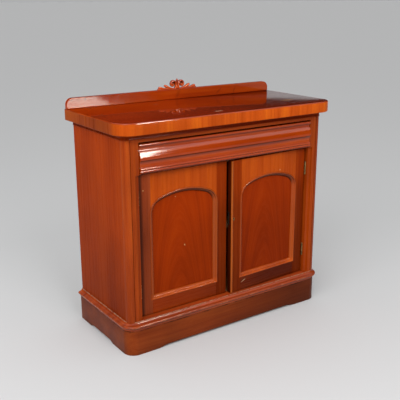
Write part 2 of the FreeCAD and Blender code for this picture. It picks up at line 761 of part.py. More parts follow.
def hinge_leaf(label, side, level, fixed):
    """One leaf of a butt hinge with its own knuckles, bored for the pin."""
    foot = level - s.hinge_length / 2
    third = s.hinge_length / 3
    plate_x = (opening_half - s.leaf_thick, opening_half)
    if not fixed:
        plate_x = (door_hinge_edge, door_hinge_edge + s.leaf_thick)
    plate = block(label + "_plate", span(side, *plate_x), (door_front, door_front + s.leaf_depth),
                  (foot, foot + s.hinge_length))
    parts = [plate]
    own = (0, 2) if fixed else (1,)
    for index in own:
        gap_low = 0 if index == 0 else s.knuckle_gap / 2
        gap_high = 0 if index == 2 else s.knuckle_gap / 2
        height = (foot + third * index + gap_low, foot + third * (index + 1) - gap_high)
        tab = block("%s_tab_%d" % (label, index), span(side, *plate_x), (pin_y, door_front), height)
        barrel = rod("%s_barrel_%d" % (label, index), pin_x * side, pin_y, height, knuckle)
        parts.extend([tab, barrel])
    bore = rod(label + "_bore", pin_x * side, pin_y, (foot - beyond, foot + s.hinge_length + beyond),
               s.pin_radius + s.pin_play)
    return cut(label, join(label + "_joined", parts), bore)


def hinge_screws(label, side, level, fixed):
    """Three screws through one leaf, their heads flush with it."""
    screws = []
    inwards = as_size(side if fixed else -side)
    face = (opening_half - s.leaf_thick) * side
    if not fixed:
        face = (door_hinge_edge + s.leaf_thick) * side
    y = door_front + s.leaf_depth / 2
    for index in (-1, 0, 1):
        z = level + s.screw_pitch * index
        name = "%s_%d" % (label, index + 2)
        along = (inwards.value, 0, 0)
        head = lying_rod(name + "_head", (face, y, z), s.screw_head_thick, s.screw_head, along)
        shank = lying_rod(name + "_shank", (face, y, z), s.screw_length, s.screw_shank, along)
        screws.append(join(name, [head, shank]))
    return screws


def case_hinges():
    leaves = []
    pins = []
    screws = []
    for side, word in ((left, "left"), (right, "right")):
        for place, level in hinge_levels():
            name = "fixed_leaf_%s_%s" % (word, place)
            leaves.append(hinge_leaf(name, side, level, True))
            height = (level - s.hinge_length / 2, level + s.hinge_length / 2)
            pins.append(rod("pin_%s_%s" % (word, place), pin_x * side, pin_y, height, s.pin_radius))
            screws.extend(hinge_screws("case_screw_%s_%s" % (word, place), side, level, True))
    keep(group("fixed_leaves", leaves), "hinge_fixed_leaves")
    keep(group("pins", pins), "hinge_pins")
    keep(group("case_screws", screws), "hinge_case_screws")


def hang(side, label, items):
    """Name a piece of a door, and swing the right door's pieces ajar."""
    piece = group("hung_" + label, items)
    if side == right:
        text = "placement(vector(0; 0; 0); rotation(vector(0; 0; 1); %s); vector(%s; %s; 0))"
        piece.setExpression("Placement", text % (s.door_ajar.text, pin_x.text, pin_y.text))
    return keep(piece, label)


def arch(side, inset, foot):
    """Outline of the arched opening, drawn in by an even inset."""
    middle = (door_meeting_edge + s.meeting_stile_width + door_hinge_edge - s.hinge_stile_width) / 2 * side
    half = (door_hinge_edge - s.hinge_stile_width - door_meeting_edge - s.meeting_stile_width) / 2 - inset
    corner = s.arch_corner - inset
    crown = s.arch_crown - inset
    spring = door_foot + s.arch_spring
    run = half - corner
    drop = ((crown - corner) * (crown - corner) - run * run).root()
    meet_x = run * crown / (crown - corner)
    meet_z = spring - drop + drop * crown / (crown - corner)
    return [
        (middle - half, foot),
        (middle + half, foot),
        (middle + half, spring, corner, 1),
        (middle + meet_x, meet_z, crown, 1),
        (middle - meet_x, meet_z, corner, 1),
        (middle - half, spring),
    ]


def door(side, word):
    stile_in = door_hinge_edge - s.hinge_stile_width
    middle_in = door_meeting_edge + s.meeting_stile_width
    depth = (door_front, door_back)
    height = (door_foot, door_top)
    spring = door_foot + s.arch_spring
    opening_foot = door_foot + s.bottom_rail_height
    reach = s.arch_crown - s.arch_corner
    run = (stile_in - middle_in) / 2 - s.arch_corner
    crown_top = spring - (reach * reach - run * run).root() + s.arch_crown
    name = word + "_door_"

    rebate_y = (door_back - s.panel_rebate, door_back)
    rebate_x = span(side, middle_in - s.panel_rebate, stile_in + s.panel_rebate)
    rebate_z = (opening_foot - s.panel_rebate, crown_top + s.panel_rebate)
    shoulder = (s.door_thick - s.tenon_thick) / 2
    tenon_y = (door_front + shoulder, door_back - shoulder)
    tenon_x = span(side, middle_in - s.tenon_length, stile_in + s.tenon_length)
    low_tenon = (door_foot + s.tenon_shoulder, opening_foot - s.panel_rebate - s.tenon_shoulder)
    high_tenon = (crown_top + s.panel_rebate + s.tenon_shoulder, door_top - s.tenon_shoulder)

    def rebate(part):
        return block("%s%s_rebate" % (name, part), rebate_x, rebate_y, rebate_z)

    def tenon(part, levels):
        return block("%s%s_tenon" % (name, part), tenon_x, tenon_y, levels)

    def stile(part, near, far, extra):
        board = block("%s%s_board" % (name, part), span(side, near, far), depth, height)
        tools = [rebate(part), tenon(part + "_low", low_tenon), tenon(part + "_high", high_tenon)] + extra
        tool = group("%s%s_tools" % (name, part), tools)
        hang(side, name + part, [cut("%s%s_cut" % (name, part), board, tool)])

    stile("hinge_stile", stile_in, door_hinge_edge, [])
    stile("meeting_stile", door_meeting_edge, middle_in, lock_cuts(side, name))

    def rail(part, levels, tenon_levels, tools):
        board = block("%s%s_board" % (name, part), span(side, middle_in, stile_in), depth, levels)
        solid = join("%s%s_solid" % (name, part), [board, tenon(part, tenon_levels)])
        tool = group("%s%s_tools" % (name, part), tools)
        hang(side, name + part, [cut("%s%s_cut" % (name, part), solid, tool)])

    rail("bottom_rail", (door_foot, opening_foot), low_tenon, [rebate("bottom_rail")])
    opening = prism(name + "arch_cut", "XZ_Plane", arch(side, as_size(0), spring - beyond),
                    door_front - beyond, door_back + beyond)
    rail("top_rail", (spring, door_top), high_tenon, [rebate("top_rail"), opening])

    panel_x = span(side, middle_in - s.panel_rebate + s.panel_play, stile_in + s.panel_rebate - s.panel_play)
    panel_y = (door_back - s.panel_rebate, door_back - s.panel_rebate + s.panel_thick)
    panel_z = (opening_foot - s.panel_rebate + s.panel_play, crown_top + s.panel_rebate - s.panel_play)
    hang(side, name + "panel", [block(name + "panel_board", panel_x, panel_y, panel_z)])
    hang(side, name + "panel_mould", [panel_mould(side, name, opening_foot)])

    leaves = []
    screws = []
    for place, level in hinge_levels():
        leaves.append(hinge_leaf("%sleaf_%s" % (name, place), side, level, False))
        screws.extend(hinge_screws("%sscrew_%s" % (name, place), side, level, False))
    hang(side, name + "hinge_leaves", leaves)
    hang(side, name + "hinge_screws", screws)


def panel_mould(side, name, opening_foot):
    """A bevelled frame inside the arch, high at its outer edge."""
    back = door_back - s.panel_rebate
    front = door_front - s.panel_mould_proud
    edge = s.panel_mould_edge
    outer = prism(name + "mould_outer", "XZ_Plane", arch(side, as_size(0), opening_foot), front, back)
    width = s.panel_mould_width
    inner = prism(name + "mould_inner", "XZ_Plane", arch(side, width, opening_foot + width),
                  front - beyond, back + beyond)
    ring = cut(name + "mould_ring", outer, inner)
    body = document.addObject("PartDesign::Body", name + "mould_bevel")
    slope_depth = back - s.panel_mould_lip - front
    # the bevel is a plug that widens from the lip to the flat edge
    sketch = outline(body, "XZ_Plane", arch(side, edge, opening_foot + edge), -front)
    pad = body.newObject("PartDesign::Pad", name + "mould_slope")
    pad.Profile = sketch
    pad.Reversed = True
    bind(pad, "Length", slope_depth)
    slope = (width - edge) / slope_depth
    pad.setExpression("TaperAngle", "0 - atan(%s) / 1 deg" % slope.text)
    return cut(name + "mould", ring, body)


def lock_cuts(side, name):
    """What is cut from a meeting stile for the lock: its bed, or its strike."""
    bolt_y = lock_bolt_y()
    half = s.lock_bolt_height / 2 + s.strike_play
    if side == left:
        depth = door_meeting_edge + s.strike_play + s.lock_bolt_throw
        depth = depth - s.lock_bolt_sunk - s.meeting_gap
        thick = s.lock_bolt_thick / 2 + s.strike_play
        strike = block(name + "strike", span(side, door_meeting_edge, depth),
                       (bolt_y - thick, bolt_y + thick), (s.lock_level - half, s.lock_level + half))
        return [strike]
    bed = block(name + "lock_bed", span(side, door_meeting_edge, door_meeting_edge + s.lock_width),
                (door_back - s.lock_depth, door_back),
                (s.lock_level - s.lock_height / 2, s.lock_level + s.lock_height / 2))
    return [bed, keyhole(name + "keyhole", door_front - beyond, door_back - s.lock_depth, as_size(0)),
            keyhole(name + "rim_seat", door_front, door_front + s.keyhole_rim_depth, s.keyhole_rim)]


def lock_bolt_y():
    return door_back - s.lock_depth / 2


def keyhole(label, front, back, margin):
    """A round hole over a slot, as deep as it is told, wider by a margin."""
    x = door_meeting_edge + s.keyhole_in
    radius = s.keyhole_radius + margin
    half = s.keyhole_slot / 2 + margin
    length = as_size(back) - front
    hole = lying_rod(label + "_round", (x, front, s.lock_level), length, radius, (0, 1, 0))
    slot = block(label + "_slot", (x - half, x + half), (front, back),
                 (s.lock_level - s.keyhole_drop - margin, s.lock_level))
    return join(label, [hole, slot])


def lock():
    """Bead, keyhole rim, lock case and bolt, all on the right door."""
    near = door_meeting_edge
    chord = s.closing_bead_width
    rise = s.closing_bead_proud
    radius = (chord * chord / 4 + rise * rise) / (rise * 2)
    corners = [
        (near, door_front),
        (near + chord, door_front, radius, -1),
    ]
    bead = prism("bead_round", "XY_Plane", corners, door_foot, door_top)
    hang(right, "right_door_closing_bead", [bead])

    depth = s.keyhole_rim_depth
    outer = keyhole("rim_outer", door_front, door_front + depth, s.keyhole_rim)
    inner = keyhole("rim_inner", door_front - beyond, door_front + depth + beyond, as_size(0))
    hang(right, "right_door_keyhole_rim", [cut("rim", outer, inner)])

    case = block("lock_block", (near, near + s.lock_width), (door_back - s.lock_depth, door_back),
                 (s.lock_level - s.lock_height / 2, s.lock_level + s.lock_height / 2))
    tail = near + s.lock_bolt_sunk + s.lock_bolt_length
    y = lock_bolt_y()
    half = s.lock_bolt_height / 2
    thick = s.lock_bolt_thick / 2
    play = s.lock_bolt_play
    way = block("lock_way", (near - beyond, tail + play), (y - thick - play, y + thick + play),
                (s.lock_level - half - play, s.lock_level + half + play))
    hang(right, "right_door_lock_case", [cut("lock_box", case, way)])
    bolt = block("lock_tongue", (near + s.lock_bolt_sunk, tail), (y - thick, y + thick),
                 (s.lock_level - half, s.lock_level + half))
    hang(right, "right_door_lock_bolt", [bolt])


def slide_bolt():
    """A sliding bolt on the back of the left door, shot up into the drawer rail."""
    x = -(door_meeting_edge + s.slide_bolt_in)
    top_end = runner_foot - s.slide_bolt_below
    foot = top_end - s.slide_bolt_length
    half = s.slide_plate_width / 2
    plate_back = door_back + s.slide_plate_thick
    plate_top = door_top - s.slide_plate_drop
    plate = block("slide_plate", (x - half, x + half), (door_back, plate_back), (foot, plate_top))
    reach = slide_bolt_y + s.slide_bolt_radius + s.staple_wall
    parts = [plate]
    for word, start in (("low", foot + s.staple_height), ("high", plate_top - s.staple_height * 2)):
        staple_x = (x - s.staple_width / 2, x + s.staple_width / 2)
        height = (start, start + s.staple_height)
        parts.append(block("staple_" + word, staple_x, (plate_back, reach), height))
    bore = rod("slide_bore", x, slide_bolt_y, (foot - beyond, door_top), s.slide_bolt_radius + s.pin_play)
    keep(cut("slide_keeper", join("slide_plate_joined", parts), bore), "left_door_bolt_plate")
    shaft = rod("slide_shaft", x, slide_bolt_y, (foot, top_end), s.slide_bolt_radius)
    knob = lying_rod("slide_thumb", (x, slide_bolt_y, foot + s.slide_bolt_length / 2),
                     s.slide_knob_length, s.slide_knob, (0, 1, 0))
    keep(join("slide_joined", [shaft, knob]), "left_door_bolt")


def drawer_front_section():
    """Bead, bulge, cove and two reeds, from the top down."""
    back = case_front + s.drawer_front_thick
    face = case_front
    ground = face - s.front_ground
    bead = face - s.front_bead_proud
    cove_lip = face - s.front_cove_lip
    z = front_top
    corners = [(back, z), (bead, z, s.front_bead_radius, 1)]
    z = z - s.front_bead
    corners.extend([(bead, z), (ground, z)])
    z = z - s.front_ledge
    corners.append((ground, z, s.front_bulge_radius, 1))
    z = z - s.front_bulge
    corners.append((ground, z, s.front_cove_radius, -1))
    z = z - s.front_cove
    corners.append((cove_lip, z))
    corners.append((bead, z, s.front_reed_radius, 1))
    z = z - s.front_reed
    corners.append((bead, z, s.front_reed_radius, 1))
    z = z - s.front_reed
    corners.extend([(bead, z), (face, z), (face, front_foot), (back, front_foot)])
    return corners


def drawer():
    half = opening_half - s.drawer_side_gap
    front_back = case_front + s.drawer_front_thick
    foot = runner_top + s.run_clear
    head = foot + s.drawer_side_height
    rear = back_front - s.drawer_tail_gap
    inner = half - s.drawer_side_thick
    keep(prism("drawer_front_board", "YZ_Plane", drawer_front_section(), -half, half), "drawer_front")
    low = runner_top + s.drawer_bottom_up
    levels = (low, low + s.drawer_bottom_thick)
    groove_half = inner + s.drawer_groove
    sides = []
    for side, word in ((left, "left"), (right, "right")):
        board = block("drawer_board_" + word, span(side, inner, half), (front_back, rear), (foot, head))
        groove = block("drawer_groove_" + word, span(side, inner, groove_half), (front_back, rear), levels)
        sides.append(cut("drawer_end_" + word, board, groove))
    keep(group("drawer_ends", sides), "drawer_sides")
    back = block("drawer_rear", (-inner, inner), (rear - s.drawer_back_thick, rear),
                 (levels[1], head - s.drawer_back_low))
    keep(back, "drawer_back")
    keep(block("drawer_floor", (-groove_half, groove_half), (front_back, rear), levels), "drawer_bottom")


top()
gallery()
bed_mould()
case_front_and_sides()
drawer_frame()
case_inside()
plinth()
plinth_mould()
case_hinges()
door(left, "left")
door(right, "right")
lock()
slide_bolt()
drawer()
document.recompute()

for item in document.Objects:
    if "Invalid" in item.State or "Error" in item.State:
        raise RuntimeError("%s did not build: %s" % (item.Label, item.State))
for item in kept:
    if item.Shape.isNull() or not item.Shape.isValid() or not item.Shape.Solids:
        raise RuntimeError("%s has no sound solid" % item.Label)

os.makedirs("parts", exist_ok=True)
for item in kept:
    item.Shape.exportStep("parts/%s.step" % item.Label)
    print("%-28s %2d solids %12.1f mm3" % (item.Label, len(item.Shape.Solids), item.Shape.Volume))
print(len(kept), "nodes")
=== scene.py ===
# A polished mahogany sideboard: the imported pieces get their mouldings, carving, veneers and polish
import json
import math

import bmesh
import bpy
from mathutils import Matrix, Vector


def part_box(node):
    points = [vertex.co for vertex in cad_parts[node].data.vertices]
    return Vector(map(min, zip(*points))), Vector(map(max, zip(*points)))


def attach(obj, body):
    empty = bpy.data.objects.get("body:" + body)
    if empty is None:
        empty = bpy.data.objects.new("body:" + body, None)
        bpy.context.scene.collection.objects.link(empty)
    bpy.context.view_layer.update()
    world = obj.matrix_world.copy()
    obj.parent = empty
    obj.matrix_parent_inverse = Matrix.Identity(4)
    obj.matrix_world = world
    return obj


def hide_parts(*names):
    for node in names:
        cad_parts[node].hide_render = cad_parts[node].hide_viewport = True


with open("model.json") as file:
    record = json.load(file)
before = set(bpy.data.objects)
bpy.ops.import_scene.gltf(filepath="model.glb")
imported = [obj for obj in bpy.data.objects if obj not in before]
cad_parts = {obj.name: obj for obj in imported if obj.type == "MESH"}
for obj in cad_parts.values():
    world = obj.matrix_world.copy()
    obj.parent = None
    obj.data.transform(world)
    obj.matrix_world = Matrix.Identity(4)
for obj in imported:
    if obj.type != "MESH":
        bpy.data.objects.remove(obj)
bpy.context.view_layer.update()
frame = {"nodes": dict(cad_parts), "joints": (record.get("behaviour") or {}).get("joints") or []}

mm = 0.001
nodes = frame["nodes"]
left, right = -1, 1
opaque = (1,)           # alpha, added to a colour


# Small tools for node trees and objects

def addNode(tree, kind, **inputs):
    made = tree.nodes.new("ShaderNode" + kind)
    for name, value in inputs.items():
        made.inputs[name].default_value = value
    return made


def feed(tree, source, target):
    if isinstance(source, bpy.types.NodeSocket):
        tree.links.new(source, target)
    else:
        target.default_value = source


def axesOf(tree, source):
    # the X, Y and Z of a vector
    split = tree.nodes.new("ShaderNodeSeparateXYZ")
    tree.links.new(source, split.inputs[0])
    return split.outputs


def sums(tree, operation, *values):
    made = tree.nodes.new("ShaderNodeMath")
    made.operation = operation
    for value, socket in zip(values, made.inputs):
        feed(tree, value, socket)
    return made.outputs[0]


def vectorSums(tree, operation, values):
    # values goes by the name or the number of the socket
    made = tree.nodes.new("ShaderNodeVectorMath")
    made.operation = operation
    for socket, value in values.items():
        feed(tree, value, made.inputs[socket])
    return made.outputs


def blendColours(tree, amount, first, second):
    made = tree.nodes.new("ShaderNodeMix")
    made.data_type = "RGBA"
    for source, socket in ((amount, 0), (first, 6), (second, 7)):     # factor, A and B of a colour mix
        feed(tree, source, made.inputs[socket])
    return made.outputs[2]


def spread(tree, value, low, high, outLow=0.0, outHigh=1.0):
    span = {"From Min": low, "From Max": high, "To Min": outLow, "To Max": outHigh}
    made = addNode(tree, "MapRange", **span)
    made.interpolation_type = "SMOOTHSTEP"
    feed(tree, value, made.inputs["Value"])
    return made.outputs["Result"]


def cloudNoise(tree, source, scale, detail, rough=0.5, output="Fac"):
    # even noise, its scale in cycles per metre
    noise = addNode(tree, "TexNoise", Scale=scale, Detail=detail, Roughness=rough)
    tree.links.new(source, noise.inputs["Vector"])
    return noise.outputs[output]


def grainNoise(tree, source, scales, detail, rough):
    # noise drawn out by three scales, in cycles per metre
    stretch = addNode(tree, "Mapping", Scale=scales)
    tree.links.new(source, stretch.inputs["Vector"])
    return cloudNoise(tree, stretch.outputs[0], 1.0, detail, rough)


def along(axis, lengthways, across):
    # scales for a grain that runs along one axis
    return tuple(lengthways if way == axis else across for way in "xyz")


def addBump(tree, surface, height, strength, depth):
    bump = addNode(tree, "Bump", Strength=strength, Distance=depth)
    tree.links.new(height, bump.inputs["Height"])
    tree.links.new(bump.outputs["Normal"], surface.inputs["Normal"])


def newMaterial(name):
    material = bpy.data.materials.new(name)
    material.use_nodes = True
    return material, material.node_tree.nodes["Principled BSDF"]


def addObject(name, data):
    made = bpy.data.objects.new(name, data)
    bpy.context.scene.collection.objects.link(made)
    return made


# Camera and stage

viewpoint = {
    "place": (-1.697, -2.4326, 1.4124),
    "lookDown": 16.37,      # degrees below level
    "turn": -34.49,         # degrees from looking straight at the front
    "roll": -0.19,
    "lens": 61.0,           # mm
    "sensor": 36,           # mm
    "farthest": 4000,       # metres that the camera sees
}


def setCamera():
    data = bpy.data.cameras.new("photoCamera")
    data.lens = viewpoint["lens"]
    data.sensor_width = viewpoint["sensor"]
    data.clip_end = viewpoint["farthest"]
    camera = addObject("photoCamera", data)
    tip = Matrix.Rotation(math.radians(90 - viewpoint["lookDown"]), 4, "X")
    swing = Matrix.Rotation(math.radians(viewpoint["turn"]), 4, "Z")
    lean = Matrix.Rotation(math.radians(viewpoint["roll"]), 4, "Z")
    camera.matrix_world = Matrix.Translation(viewpoint["place"]) @ swing @ tip @ lean
    bpy.context.scene.camera = camera


studio = {
    "floorColour": (0.6, 0.605, 0.61),
    "floorRoughness": 0.75,
    "floorGloss": 0.2,
    "floorHalf": 1500.0,        # metres
    "horizon": (0.42, 0.425, 0.43),
    "ceiling": (0.015, 0.012, 0.01),
    "overhead": (0.9, 0.9, 0.9),
    "horizonUpTo": 0.02,        # heights in the air are sines of the height angle
    "bandLow": 0.045,           # the polished top mirrors this dark band, from and to
    "bandHigh": 0.45,
    "overheadFrom": 0.75,
    "sunStrength": 1.25,
    "sunSpread": 38,            # degrees
    "sunFrom": (-0.62, -0.58, 0.53),
    "windowTint": (1.0, 0.96, 0.84),
}

softBoxes = {
    # name: place, what it points at, width, height, degrees that it leans to the right, watts, and whether
    # it lights what is matt or shows in what is glossy
    "frontKey": ((-0.6, -3.00, 2.9), (0.0, -0.2, 0.5), 1.4, 1.4, 0, 58, "matt"),
    "leftKey": ((-3.00, -0.8, 2.4), (-0.5, 0.0, 0.6), 1.4, 1.4, 0, 34, "matt"),
    "windowBox": ((0.597, -2.05, 1.725), (0.597, 0.0, 1.725), 0.4, 1.18, 22, 64, "gloss"),
    "crestSpark": ((-1.95, -0.15, 2.45), (0.0, 0.23, 1.05), 0.7, 1.2, 0, 60, "gloss"),
    "sideGlow": ((2.1, -2.05, 2.4), (2.1, 0.0, 2.4), 2.2, 1.00, 0, 14, "gloss"),
}


def buildFloor():
    half = studio["floorHalf"]
    mesh = bpy.data.meshes.new("studioFloor")
    corners = [(-half, -half, 0), (half, -half, 0), (half, half, 0), (-half, half, 0)]
    mesh.from_pydata(corners, [], [(0, 1, 2, 3)])
    floor = addObject("studioFloor", mesh)
    paint, surface = newMaterial("floorPaint")
    surface.inputs["Base Color"].default_value = studio["floorColour"] + opaque
    surface.inputs["Roughness"].default_value = studio["floorRoughness"]
    surface.inputs["Specular IOR Level"].default_value = studio["floorGloss"]
    mesh.materials.append(paint)


def buildAir():
    sky = bpy.data.worlds.new("studioAir")
    bpy.context.scene.world = sky
    sky.use_nodes = True
    tree = sky.node_tree
    way = tree.nodes.new("ShaderNodeTexCoord").outputs["Generated"]
    ramp = tree.nodes.new("ShaderNodeValToRGB")
    tree.links.new(axesOf(tree, way)["Z"], ramp.inputs["Fac"])
    tree.links.new(ramp.outputs["Color"], tree.nodes["Background"].inputs["Color"])
    stops = ramp.color_ramp.elements
    stops[0].color = studio["horizon"] + opaque
    stops[1].position = studio["overheadFrom"]
    stops[1].color = studio["overhead"] + opaque
    for height, tone in (("horizonUpTo", "horizon"), ("bandLow", "ceiling"), ("bandHigh", "ceiling")):
        stop = stops.new(studio[height])
        stop.color = studio[tone] + opaque


def addLight(name, kind, place, target, strength):
    light = bpy.data.lights.new(name, kind)
    light.energy = strength
    lamp = addObject(name, light)
    lamp.location = place
    way = Vector(target) - lamp.location
    lamp.rotation_euler = way.to_track_quat("-Z", "Y").to_euler()
    return lamp


def buildLamps():
    sun = addLight("softSun", "SUN", studio["sunFrom"], (0, 0, 0), studio["sunStrength"])
    sun.data.angle = math.radians(studio["sunSpread"])
    for name, (place, target, width, height, lean, watts, lit) in softBoxes.items():
        lamp = addLight(name, "AREA", place, target, watts)
        lamp.rotation_euler.rotate_axis("Z", -math.radians(lean))
        lamp.visible_diffuse = lit == "matt"
        lamp.visible_glossy = lit == "gloss"
        lamp.data.shape = "RECTANGLE"
        lamp.data.size = width
        lamp.data.size_y = height
    bpy.data.lights["windowBox"].color = studio["windowTint"]


bpy.context.scene.view_settings.view_transform = "Standard"
setCamera()
buildFloor()
buildAir()
buildLamps()
print("stage: camera, floor and lights are set")


# Polished mahogany

mahogany = {
    # scales are in cycles per metre
    "shiftWay": (1.0, 1.7, 0.6),    # the way that a wood's shift moves its figure
    "wanderScale": 2.3,
    "wander": 0.03,                 # metres that the grain lines stray
    "patchScale": 3.1,              # slow lighter and darker patches
    "slowDetail": 2.0,
    "broadAlong": 1.1,              # bands and streaks, lengthways
    "streaksAlong": 2.2,
    "fineGrain": (6.0, 420.0),      # along the grain and across it
    "archSteepness": 36.0,          # how fast the arches of a crown-cut veneer drop to their sides
    "archBands": 3.0,               # bands and streaks across such an arch
    "archStreaks": 20.0,
    "shares": (0.55, 0.3, 0.15),    # how much of the figure is bands, streaks and fine grain
    "swing": 0.2,                   # how far from its middle the figure reaches its dark and light colours
    "pores": (70.0, 1100.0),        # open pores along the grain and across it
    "poreFrom": 0.62,
    "poreTo": 0.72,
    "poreDepth": 0.3,               # how dark they are
    "poreTint": 0.4,
    "dulled": (0.85, 1.2),          # least and most roughness, as shares of the wood's own
    "ripples": 16.0,                # slow ripples of the polish, and how far they outweigh the grain
    "rippleDetail": 1.0,
    "rippleShare": 4.0,
    "bumpDepth": 0.0004,            # metres
}

layers = {
    # detail and roughness of the noise in each layer of the figure
    "bands": (2.0, 0.5),
    "streaks": (5.0, 0.62),
    "archStreaks": (4.0, 0.6),
    "fineGrain": (3.0, 0.6),
    "pores": (1.0, 0.4),
}

noiseSpan = (0.3, 0.7)              # nearly all of a noise lies between these
paintedUnderShadeSpan = (-0.65, -0.05)      # how far a face looks down: where its painted shade is darkest, and where there is none

markLook = {
    "ragged": (160.0, 3.0),         # noise: cycles per metre and detail
    "raggedShare": 0.5,
    "fadesOver": (0.55, 1.25),      # in half sizes of the mark
}

wearAndShadowKinds = {
    # noise (cycles per metre, detail, roughness), the values that it shows between, and how much it dulls
    "scuffAndShadow": ((30.0, 4.0, 0.6), (0.4, 0.66), 0.3),
    "dust": ((60.0, 5.0, 0.7), (0.34, 0.6), 0.4),
}


def threeColours(tree, share, dark, mid, light):
    ramp = tree.nodes.new("ShaderNodeValToRGB")
    tree.links.new(share, ramp.inputs["Fac"])
    stops = ramp.color_ramp.elements
    stops[0].color = dark + opaque
    stops[1].color = light + opaque
    middle = stops.new(0.5)
    middle.color = mid + opaque
    return ramp.outputs["Color"]


def addMark(tree, place, colour, centre, size, lean, tint, amount):
    # a single mark: an oval with ragged edges about a point of the surface, leaning by degrees in the face
    oval = addNode(tree, "Mapping", Location=centre, Rotation=(0, math.radians(lean), 0), Scale=size)
    oval.vector_type = "TEXTURE"
    tree.links.new(place, oval.inputs["Vector"])
    away = vectorSums(tree, "LENGTH", {0: oval.outputs[0]})["Value"]
    ragged = cloudNoise(tree, place, *markLook["ragged"])
    reach = sums(tree, "MULTIPLY_ADD", ragged, markLook["raggedShare"], away)
    mask = spread(tree, reach, *markLook["fadesOver"], amount, 0.0)
    return blendColours(tree, mask, colour, tint + opaque)


def addWearAndShadowLine(tree, place, colour, roughness, kind, level, depth, tint, amount):
    # scuffed polish, old wax and dust, and painted shadow lines, about a level
    noise, shows, dulls = wearAndShadowKinds[kind]
    away = sums(tree, "ABSOLUTE", sums(tree, "SUBTRACT", axesOf(tree, place)["Z"], level))
    near = spread(tree, away, 0.0, depth, 1.0, 0.0)
    mask = sums(tree, "MULTIPLY", near, spread(tree, cloudNoise(tree, place, *noise), *shows, 0.0, amount))
    colour = blendColours(tree, mask, colour, tint + opaque)
    return colour, sums(tree, "MULTIPLY_ADD", mask, dulls, roughness)


def archedFigure(tree, here, middle, bands, streaks):
    # arches that open downwards: height plus a steep share of the distance from the middle
    axes = axesOf(tree, here)
    out = sums(tree, "SUBTRACT", axes["X"], middle)
    drop = sums(tree, "MULTIPLY", sums(tree, "MULTIPLY", out, out), mahogany["archSteepness"])
    join = tree.nodes.new("ShaderNodeCombineXYZ")
    tree.links.new(sums(tree, "ADD", axes["Z"], drop), join.inputs[0])
    tree.links.new(out, join.inputs[1])
    broad = grainNoise(tree, join.outputs[0], (bands, mahogany["archBands"], 1.0), *layers["bands"])
    lines = grainNoise(tree, join.outputs[0], (streaks, mahogany["archStreaks"], 1.0), *layers["archStreaks"])
    return broad, lines


def woodMaterial(name, dark, mid, light, rough, gloss, grain="z", arch=None, bands=18.0, streaks=95.0,
                 contrast=1.0, patchy=0.11, shift=0.0, relief=0.12, lipping=None, paintedUnderShade=1.0, paintedLightFades=(),
                 marks=(), wearAndShadow=()):
    wood = mahogany
    material, surface = newMaterial(name)
    tree = material.node_tree
    place = tree.nodes.new("ShaderNodeTexCoord").outputs["Object"]
    axes = axesOf(tree, place)
    moved = addNode(tree, "Mapping", Location=tuple(shift * part for part in wood["shiftWay"]))
    tree.links.new(place, moved.inputs["Vector"])
    here = moved.outputs[0]
    stray = cloudNoise(tree, here, wood["wanderScale"], wood["slowDetail"], output="Color")
    here = vectorSums(tree, "MULTIPLY_ADD", {0: stray, 1: (wood["wander"],) * 3, 2: here})[0]

    if arch is None:
        broad = grainNoise(tree, here, along(grain, wood["broadAlong"], bands), *layers["bands"])
        lines = grainNoise(tree, here, along(grain, wood["streaksAlong"], streaks), *layers["streaks"])
    else:
        broad, lines = archedFigure(tree, here, arch, bands, streaks)
    fine = grainNoise(tree, here, along(grain, *wood["fineGrain"]), *layers["fineGrain"])
    share = 0.0
    for layer, part in zip((broad, lines, fine), wood["shares"]):
        share = sums(tree, "MULTIPLY_ADD", layer, part, share)
    share = spread(tree, share, 0.5 - wood["swing"] / contrast, 0.5 + wood["swing"] / contrast)
    colour = threeColours(tree, share, dark, mid, light)
    if lipping:
        # a carcase board has its front edge lipped in the show wood
        front = sums(tree, "LESS_THAN", axes["Y"], lipping["depth"])
        colour = blendColours(tree, front, colour, threeColours(tree, share, *lipping["colours"]))

    slow = cloudNoise(tree, here, wood["patchScale"], wood["slowDetail"])
    shade = spread(tree, slow, *noiseSpan, 1 - patchy, 1 + patchy)
    # painted light and shade: the colour is scaled along each axis by the shares given
    for axis, *span in paintedLightFades:
        shade = sums(tree, "MULTIPLY", shade, spread(tree, axes[axis], *span))
    if paintedUnderShade < 1:
        # painted shade: what faces the floor is darkened
        facing = axesOf(tree, tree.nodes.new("ShaderNodeNewGeometry").outputs["Normal"])["Z"]
        shade = sums(tree, "MULTIPLY", shade, spread(tree, facing, *paintedUnderShadeSpan, paintedUnderShade, 1.0))
    colour = vectorSums(tree, "SCALE", {0: colour, "Scale": shade})[0]

    # open pores: short dark dashes along the grain
    pores = grainNoise(tree, here, along(grain, *wood["pores"]), *layers["pores"])
    pores = spread(tree, pores, wood["poreFrom"], wood["poreTo"])
    poreTint = tuple(part * wood["poreTint"] for part in dark) + opaque
    colour = blendColours(tree, sums(tree, "MULTIPLY", pores, wood["poreDepth"]), colour, poreTint)

    roughness = spread(tree, lines, *noiseSpan, *[rough * part for part in wood["dulled"]])
    for mark in marks:
        colour = addMark(tree, place, colour, *mark)
    for wearAndShadowBand in wearAndShadow:
        colour, roughness = addWearAndShadowLine(tree, place, colour, roughness, *wearAndShadowBand)

    feed(tree, colour, surface.inputs["Base Color"])
    feed(tree, roughness, surface.inputs["Roughness"])
    surface.inputs["Specular IOR Level"].default_value = gloss
    ripples = cloudNoise(tree, place, wood["ripples"], wood["rippleDetail"])
    height = sums(tree, "MULTIPLY_ADD", ripples, wood["rippleShare"], lines)
    addBump(tree, surface, sums(tree, "SUBTRACT", height, pores), relief, wood["bumpDepth"])
    return material


metalLook = {
    "cloud": (90.0, 6.0, 0.65),             # noise: cycles per metre, detail and roughness
    "tarnishSpan": (0.4, 0.66),             # tarnish sets in between these values of it
    "scratches": (300.0, 300.0, 2500.0),    # cycles per metre
    "scratchNoise": (2.0, 0.55),            # detail and roughness
    "dulled": (0.8, 1.6),
    "relief": 0.2,
    "bumpDepth": 0.0001,                    # metres
}


